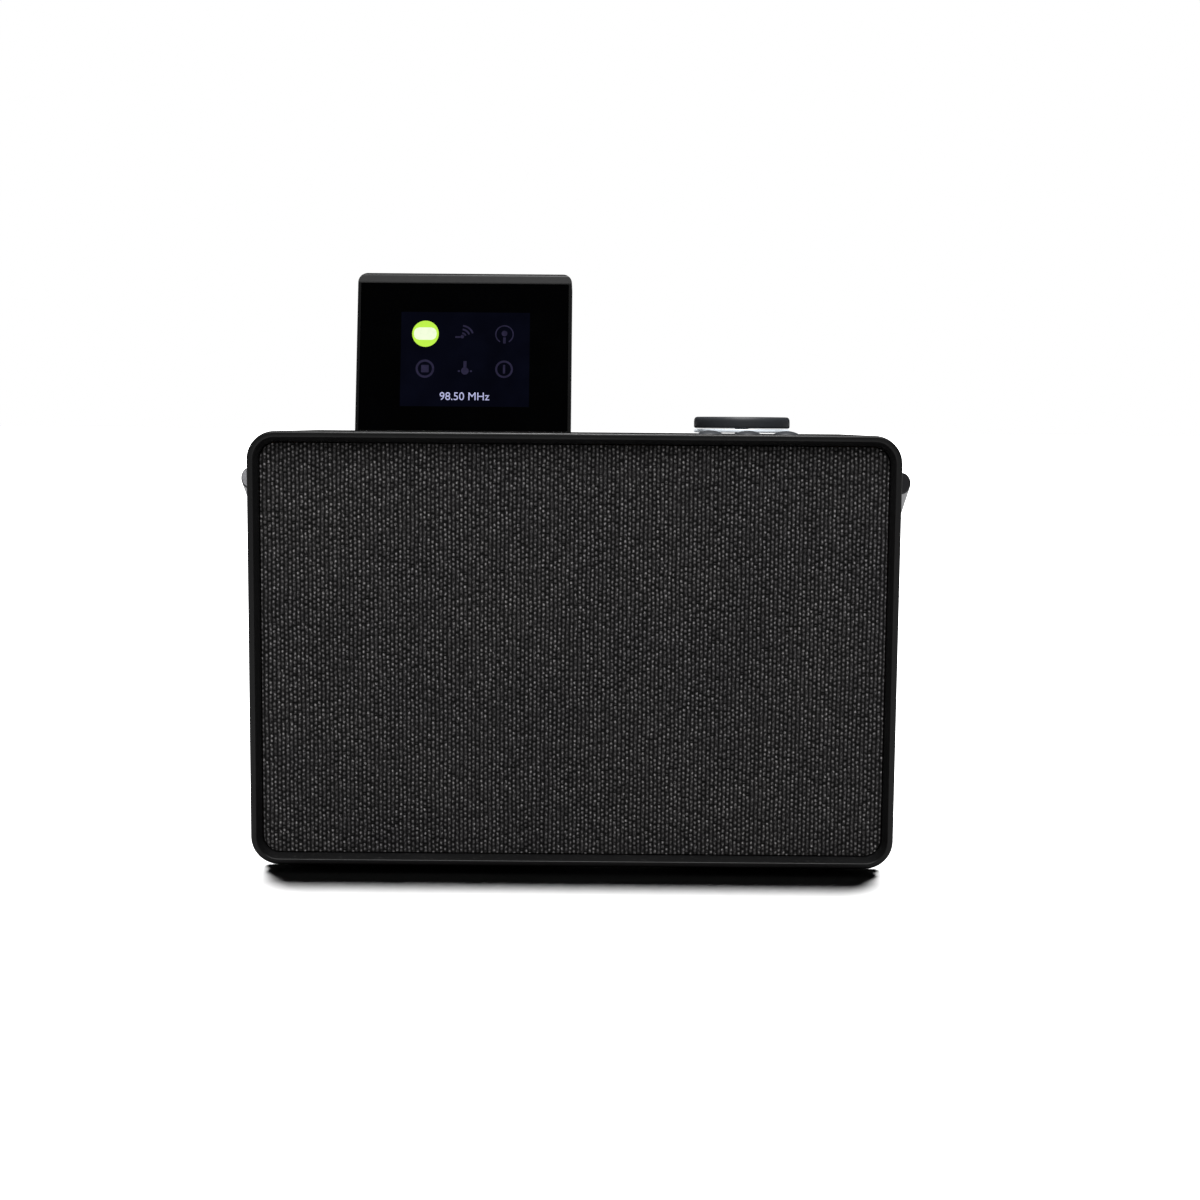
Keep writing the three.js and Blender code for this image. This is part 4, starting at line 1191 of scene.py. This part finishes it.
# %% Handle
KEEP_REACH = 200
KEEP_HEIGHTS = (-50, 300)
handle = sweep("handle", handle_side(-BAR_X) + handle_side(BAR_X)[::-1], BAR_RADIUS, segments=40)
square = [
    (-KEEP_REACH, BAR_FRONT), (KEEP_REACH, BAR_FRONT), (KEEP_REACH, KEEP_REACH), (-KEEP_REACH, KEEP_REACH)
]
carve(handle, [block("end tool", square, *KEEP_HEIGHTS)], "INTERSECT", edge=0.5)
dress(handle, "bar", "handle", "handle", "handle_bar")
handle.data.materials.append(FINISH["plug"])
end_limit = at(0, BAR_FRONT + 1, 0)[1]
end_faces = [face for face in handle.data.polygons if face.center.y < end_limit and face.normal.y < -0.6]
for face in end_faces:
    face.material_index = 1
print("dark end faces:", len(end_faces))

# %% [markdown]
# The grip is a rubber sleeve with fine grooves that stop it slipping in the hand.

# %% Grip
GRIP_RADIUS = (grip_high[2] - grip_low[2]) / 2
GRIP_GROOVES = 24
GRIP_PLAIN = 12
GRIP_EDGE = 8
BORE = BAR_RADIUS + 0.3
RIM = BAR_RADIUS + 0.5
grip_profile = [(BORE, grip_low[0])]
grip_profile += soften([
    (RIM, grip_low[0], 0), (GRIP_RADIUS, grip_low[0], 1.5), (GRIP_RADIUS, grip_low[0] + GRIP_EDGE, 0),
], closed=False)
groove_step = (grip_high[0] - grip_low[0] - 2 * GRIP_PLAIN) / GRIP_GROOVES
for k in range(GRIP_GROOVES + 1):
    x = grip_low[0] + GRIP_PLAIN + k * groove_step
    for shift, sunk in ((-0.7, 0), (-0.35, 0.35), (0.35, 0.35), (0.7, 0)):
        grip_profile.append((GRIP_RADIUS - sunk, x + shift))
grip_profile += soften([
    (GRIP_RADIUS, grip_high[0] - GRIP_EDGE, 0), (GRIP_RADIUS, grip_high[0], 1.5), (RIM, grip_high[0], 0),
], closed=False)
grip_profile.append((BORE, grip_high[0]))
grip = turn("grip", grip_profile, (BAR_BACK, BAR_LOW), axis="x", segments=48)
dress(grip, "rubber", "handle", "rubber", "handle_grip")
print("grip:", GRIP_GROOVES + 1, "grooves")

# %% [markdown]
# Each side of the handle turns on a steel pin with a rubber washer between the bar and the cabinet.
# They are seen only in the narrow gap, so a turned profile with soft edges is enough.

# %% Pivots
HEAD_RADIUS = 4.4
HEAD_LENGTH = 4.7
PIN_RADIUS = 2
for side_name, out in (("left", -1), ("right", 1)):
    low, high = drawn_box("handle_pivot_" + side_name)
    centre = centre_of(low, high, 1, 2)
    inner, outer = sorted((low[0], high[0]), key=abs)
    head = inner + out * HEAD_LENGTH
    profile = soften([
        (0, inner, 0), (HEAD_RADIUS, inner, 0.4), (HEAD_RADIUS, head, 0.4), (PIN_RADIUS, head, 0.2),
        (PIN_RADIUS, outer, 0.4), (0, outer, 0),
    ], closed=False)
    pin = turn("pivot_pin_" + side_name, profile, centre, axis="x", segments=32)
    dress(pin, "zinc", "cabinet", "steel", "handle_pivot_" + side_name)
    low, high = drawn_box("handle_washer_" + side_name)
    profile = soften([(2.35, low[0], 0.1), (5, low[0], 0.3), (5, high[0], 0.3), (2.35, high[0], 0.1)])
    washer = turn("pivot_washer_" + side_name, profile, centre, axis="x", segments=40)
    dress(washer, "rubber", "cabinet", "rubber", "handle_washer_" + side_name)
print(f"pivot pins {abs(outer - inner):.1f} mm long")

# %% [markdown]
# ## Feet
# Four rubber feet lift the cabinet a few millimetres, enough for a line of shadow under it. Each has a
# shallow dip below, and a peg above that holds it in the cabinet.

# %% Feet
FEET = [f"foot_{end}_{side}" for end in ("front", "back") for side in ("left", "right")]
PLATE = BOTTOM - 0.3
for node in FEET:
    low, high = drawn_box(node)
    profile = soften([
        (0, 0.3, 0), (3.2, 0.3, 0.2), (3.6, 0, 0.2), (7.3, 0, 0.6), (8, 0.9, 0.4),
        (8, PLATE, 0.3), (2, PLATE, 0.2), (2, high[2], 0.2), (0, high[2], 0),
    ], closed=False)
    foot = turn("rubber_" + node, profile, centre_of(low, high, 0, 1), segments=48)
    dress(foot, "rubber", "cabinet", "rubber", node)
print("feet:", len(FEET), f"lift the cabinet {BOTTOM:.1f} mm")

# %% [markdown]
# ## The back
# The cover, the battery door and the socket panel are flat mouldings whose solid shapes are already
# right, so they stay and get a coarser texture and soft edges. The bass port is turned again, because
# its mouth is a smooth trumpet and not a step.

# %% Back
keep("rear_cover", "back", edge=0.35)
keep("battery_door", "back", edge=0.3)
keep("socket_panel", "inner", edge=0.25)
keep("power_inlet", "inner", edge=0.15)
keep("line_in_socket", "inner", edge=0.15)
for level in ("lower", "upper"):
    for side_name in ("left", "right"):
        keep(f"rear_screw_{level}_{side_name}", "zinc", edge=0.12)

PORT_RADIUS = 17
PORT_OUTSIDE = 19.5
PORT_FLANGE = 22.5
port_low, port_high = drawn_box("bass_port")
port_profile = soften([
    (PORT_RADIUS, port_low[1], 0.4), (PORT_OUTSIDE, port_low[1], 0.4), (PORT_OUTSIDE, port_high[1] - 1.3, 0),
    (PORT_FLANGE, port_high[1] - 1.3, 0.3), (PORT_FLANGE, port_high[1], 0.5),
    (PORT_RADIUS + 2.6, port_high[1], 0.6), (PORT_RADIUS, port_high[1] - 5, 3.5),
], steps=6)
port = turn("port_tube", port_profile, centre_of(port_low, port_high, 0, 2), axis="y", segments=72)
dress(port, "inner", "cabinet", "frame_plastic", "bass_port")
print(f"port {2 * PORT_RADIUS} mm across inside")

# %% [markdown]
# ## Aerial
# The rod aerial is three plated tubes and a solid rod, one inside the next, on a knuckle that turns and
# folds. Two of the tubes are turned again about their line, each with a small step near one end as a
# rolled lip has, and so is the rod with its button. The tube at the root stays as it is.

# %% Aerial
keep("aerial_mount", "zinc", edge=0.3)
keep("aerial_knuckle", "plating", edge=0.4)
keep("aerial_root", "plating", edge=0.15)
AERIAL = centre_of(*drawn_box("aerial_root"), 1, 2)
TUBES = {"aerial_section_lower": ("aerial_lower", 2.4), "aerial_section_middle": ("aerial_middle", 1.8)}
TUBE_WALL = 0.4


def lipped_tube(name, low, high, radius):
    bore = radius - TUBE_WALL
    profile = soften([
        (bore, low, 0), (radius - 0.1, low, 0.15), (radius - 0.1, low + 1.2, 0.2),
        (radius, low + 1.6, 0.2), (radius, high, 0.15), (bore, high, 0),
    ])
    return turn(name, profile, AERIAL, axis="x", segments=32)


for node, (body, radius) in TUBES.items():
    low, high = drawn_box(node)
    dress(lipped_tube("tube_" + node, low[0], high[0], radius), "plating", body, "chrome", node)
tip_low, tip_high = drawn_box("aerial_tip")
start, end = tip_low[0], tip_high[0]
tip_profile = soften([
    (0, start, 0), (2.2, start, 0.8), (3, start + 1.2, 0.5), (3, start + 4.6, 0.6),
    (1.8, start + 5.4, 0.4), (1.2, start + 5.6, 0.1), (1.2, end, 0.3), (0, end, 0),
], closed=False)
tip = turn("aerial_end_rod", tip_profile, AERIAL, axis="x", segments=32)
dress(tip, "plating", "aerial_end", "chrome", "aerial_tip")
print(f"aerial rod {end - start:.0f} mm long")

# %% [markdown]
# ## Inside
# Nothing inside shows while the radio is whole, but every piece still has its own finish, because the
# model can be opened: boards, drivers, battery and switches.

# %% Inside
INSIDE = {
    "grille_frame": "inner", "speaker_baffle": "fibreboard", "main_board": "board",
    "control_board": "board", "display_board": "board", "lcd_module": "glass",
    "radio_module": "zinc", "battery_bay": "inner", "battery_pack": "sleeve",
    "encoder_body": "zinc", "encoder_shaft": "zinc",
    "display_hinge_pin_left": "zinc", "display_hinge_pin_right": "zinc",
}
for side_name in BUTTONS:
    INSIDE["button_switch_" + side_name] = "inner"
for side_name in ("left", "right"):
    INSIDE["speaker_basket_" + side_name] = "enamel"
    INSIDE["speaker_magnet_" + side_name] = "enamel"
    INSIDE["speaker_cone_" + side_name] = "cone"
for node, finish in INSIDE.items():
    keep(node, finish)
print(len(INSIDE), "inner solids dressed")

# %% [markdown]
# ## Floor
# A plain white sheet, far larger than the radio, so that its edge never shows. It isn't part of the
# radio. Its own lamp burns it out to white. Its colour depends on the ray: pale to the camera, darker
# where a shiny surface mirrors it, and darkest where it would throw light back on the radio, so that the
# black sides stay black.

# %% Floor
FLOOR_REACH = 40000
FLOOR_PALE = 0.18
FLOOR_MIRRORED = 0.2
FLOOR_BOUNCE = 0.09
floor_mesh = bpy.data.meshes.new("floor")
floor_mesh.from_pydata(
    [at(a * FLOOR_REACH, b * FLOOR_REACH, 0) for a, b in ((-1, -1), (1, -1), (1, 1), (-1, 1))],
    [], [(0, 1, 2, 3)],
)
floor = add_object("floor", floor_mesh)
floor_finish, tree, shader = start_finish("white floor", Roughness=0.9, Specular_IOR_Level=0.1)
paper = add_node(tree, "TexNoise", Scale=60.0, Detail=3.0).outputs["Fac"]
pale = mix_colour(tree, paper, grey(0.99 * FLOOR_PALE), grey(1.01 * FLOOR_PALE))
rays = add_node(tree, "LightPath").outputs
seen = calc(tree, "MULTIPLY", rays["Is Camera Ray"], 1 - FLOOR_BOUNCE)
mirrored = calc(tree, "MULTIPLY", rays["Is Glossy Ray"], FLOOR_MIRRORED - FLOOR_BOUNCE)
shade = calc(tree, "ADD", calc(tree, "ADD", seen, mirrored), FLOOR_BOUNCE)
plug(tree, shader.inputs["Base Color"], mix_colour(tree, shade, grey(0.0), pale))
floor_mesh.materials.append(floor_finish)
print(f"floor {2 * FLOOR_REACH * MM:.0f} m wide")

# %% [markdown]
# ## Which light reaches what
# A collection on a lamp can limit it to some things, or keep it off them. The floor is left to its own
# lamp, the two wide lights reach only the knob's ring, and the card only the handle. The handle with its
# grip, the front ring and the cabinet's shell throw no shadow from the floor's lamp. The shadow comes
# from the slightly smaller pieces inside them, which keeps it as narrow as a white studio makes it.

# %% Light linking
def link_light(lamp, kind, state, *things):
    """Limits a lamp to some things, or keeps it off them. kind is receiver or blocker."""
    chosen = bpy.data.collections.new(f"{lamp.name} {kind}")
    for number, thing in enumerate(things):
        chosen.objects.link(thing)
        chosen.collection_objects[number].light_linking.link_state = state
    setattr(lamp.light_linking, kind + "_collection", chosen)


for lamp in (top_light, front_light):
    link_light(lamp, "receiver", "EXCLUDE", floor)
for lamp in ring_lights:
    link_light(lamp, "receiver", "INCLUDE", foot_ring)
link_light(card, "receiver", "INCLUDE", handle)
link_light(floor_light, "receiver", "INCLUDE", floor)
link_light(floor_light, "blocker", "EXCLUDE", handle, grip, bezel, shell)
print("linked lights:", len(bpy.data.lights))
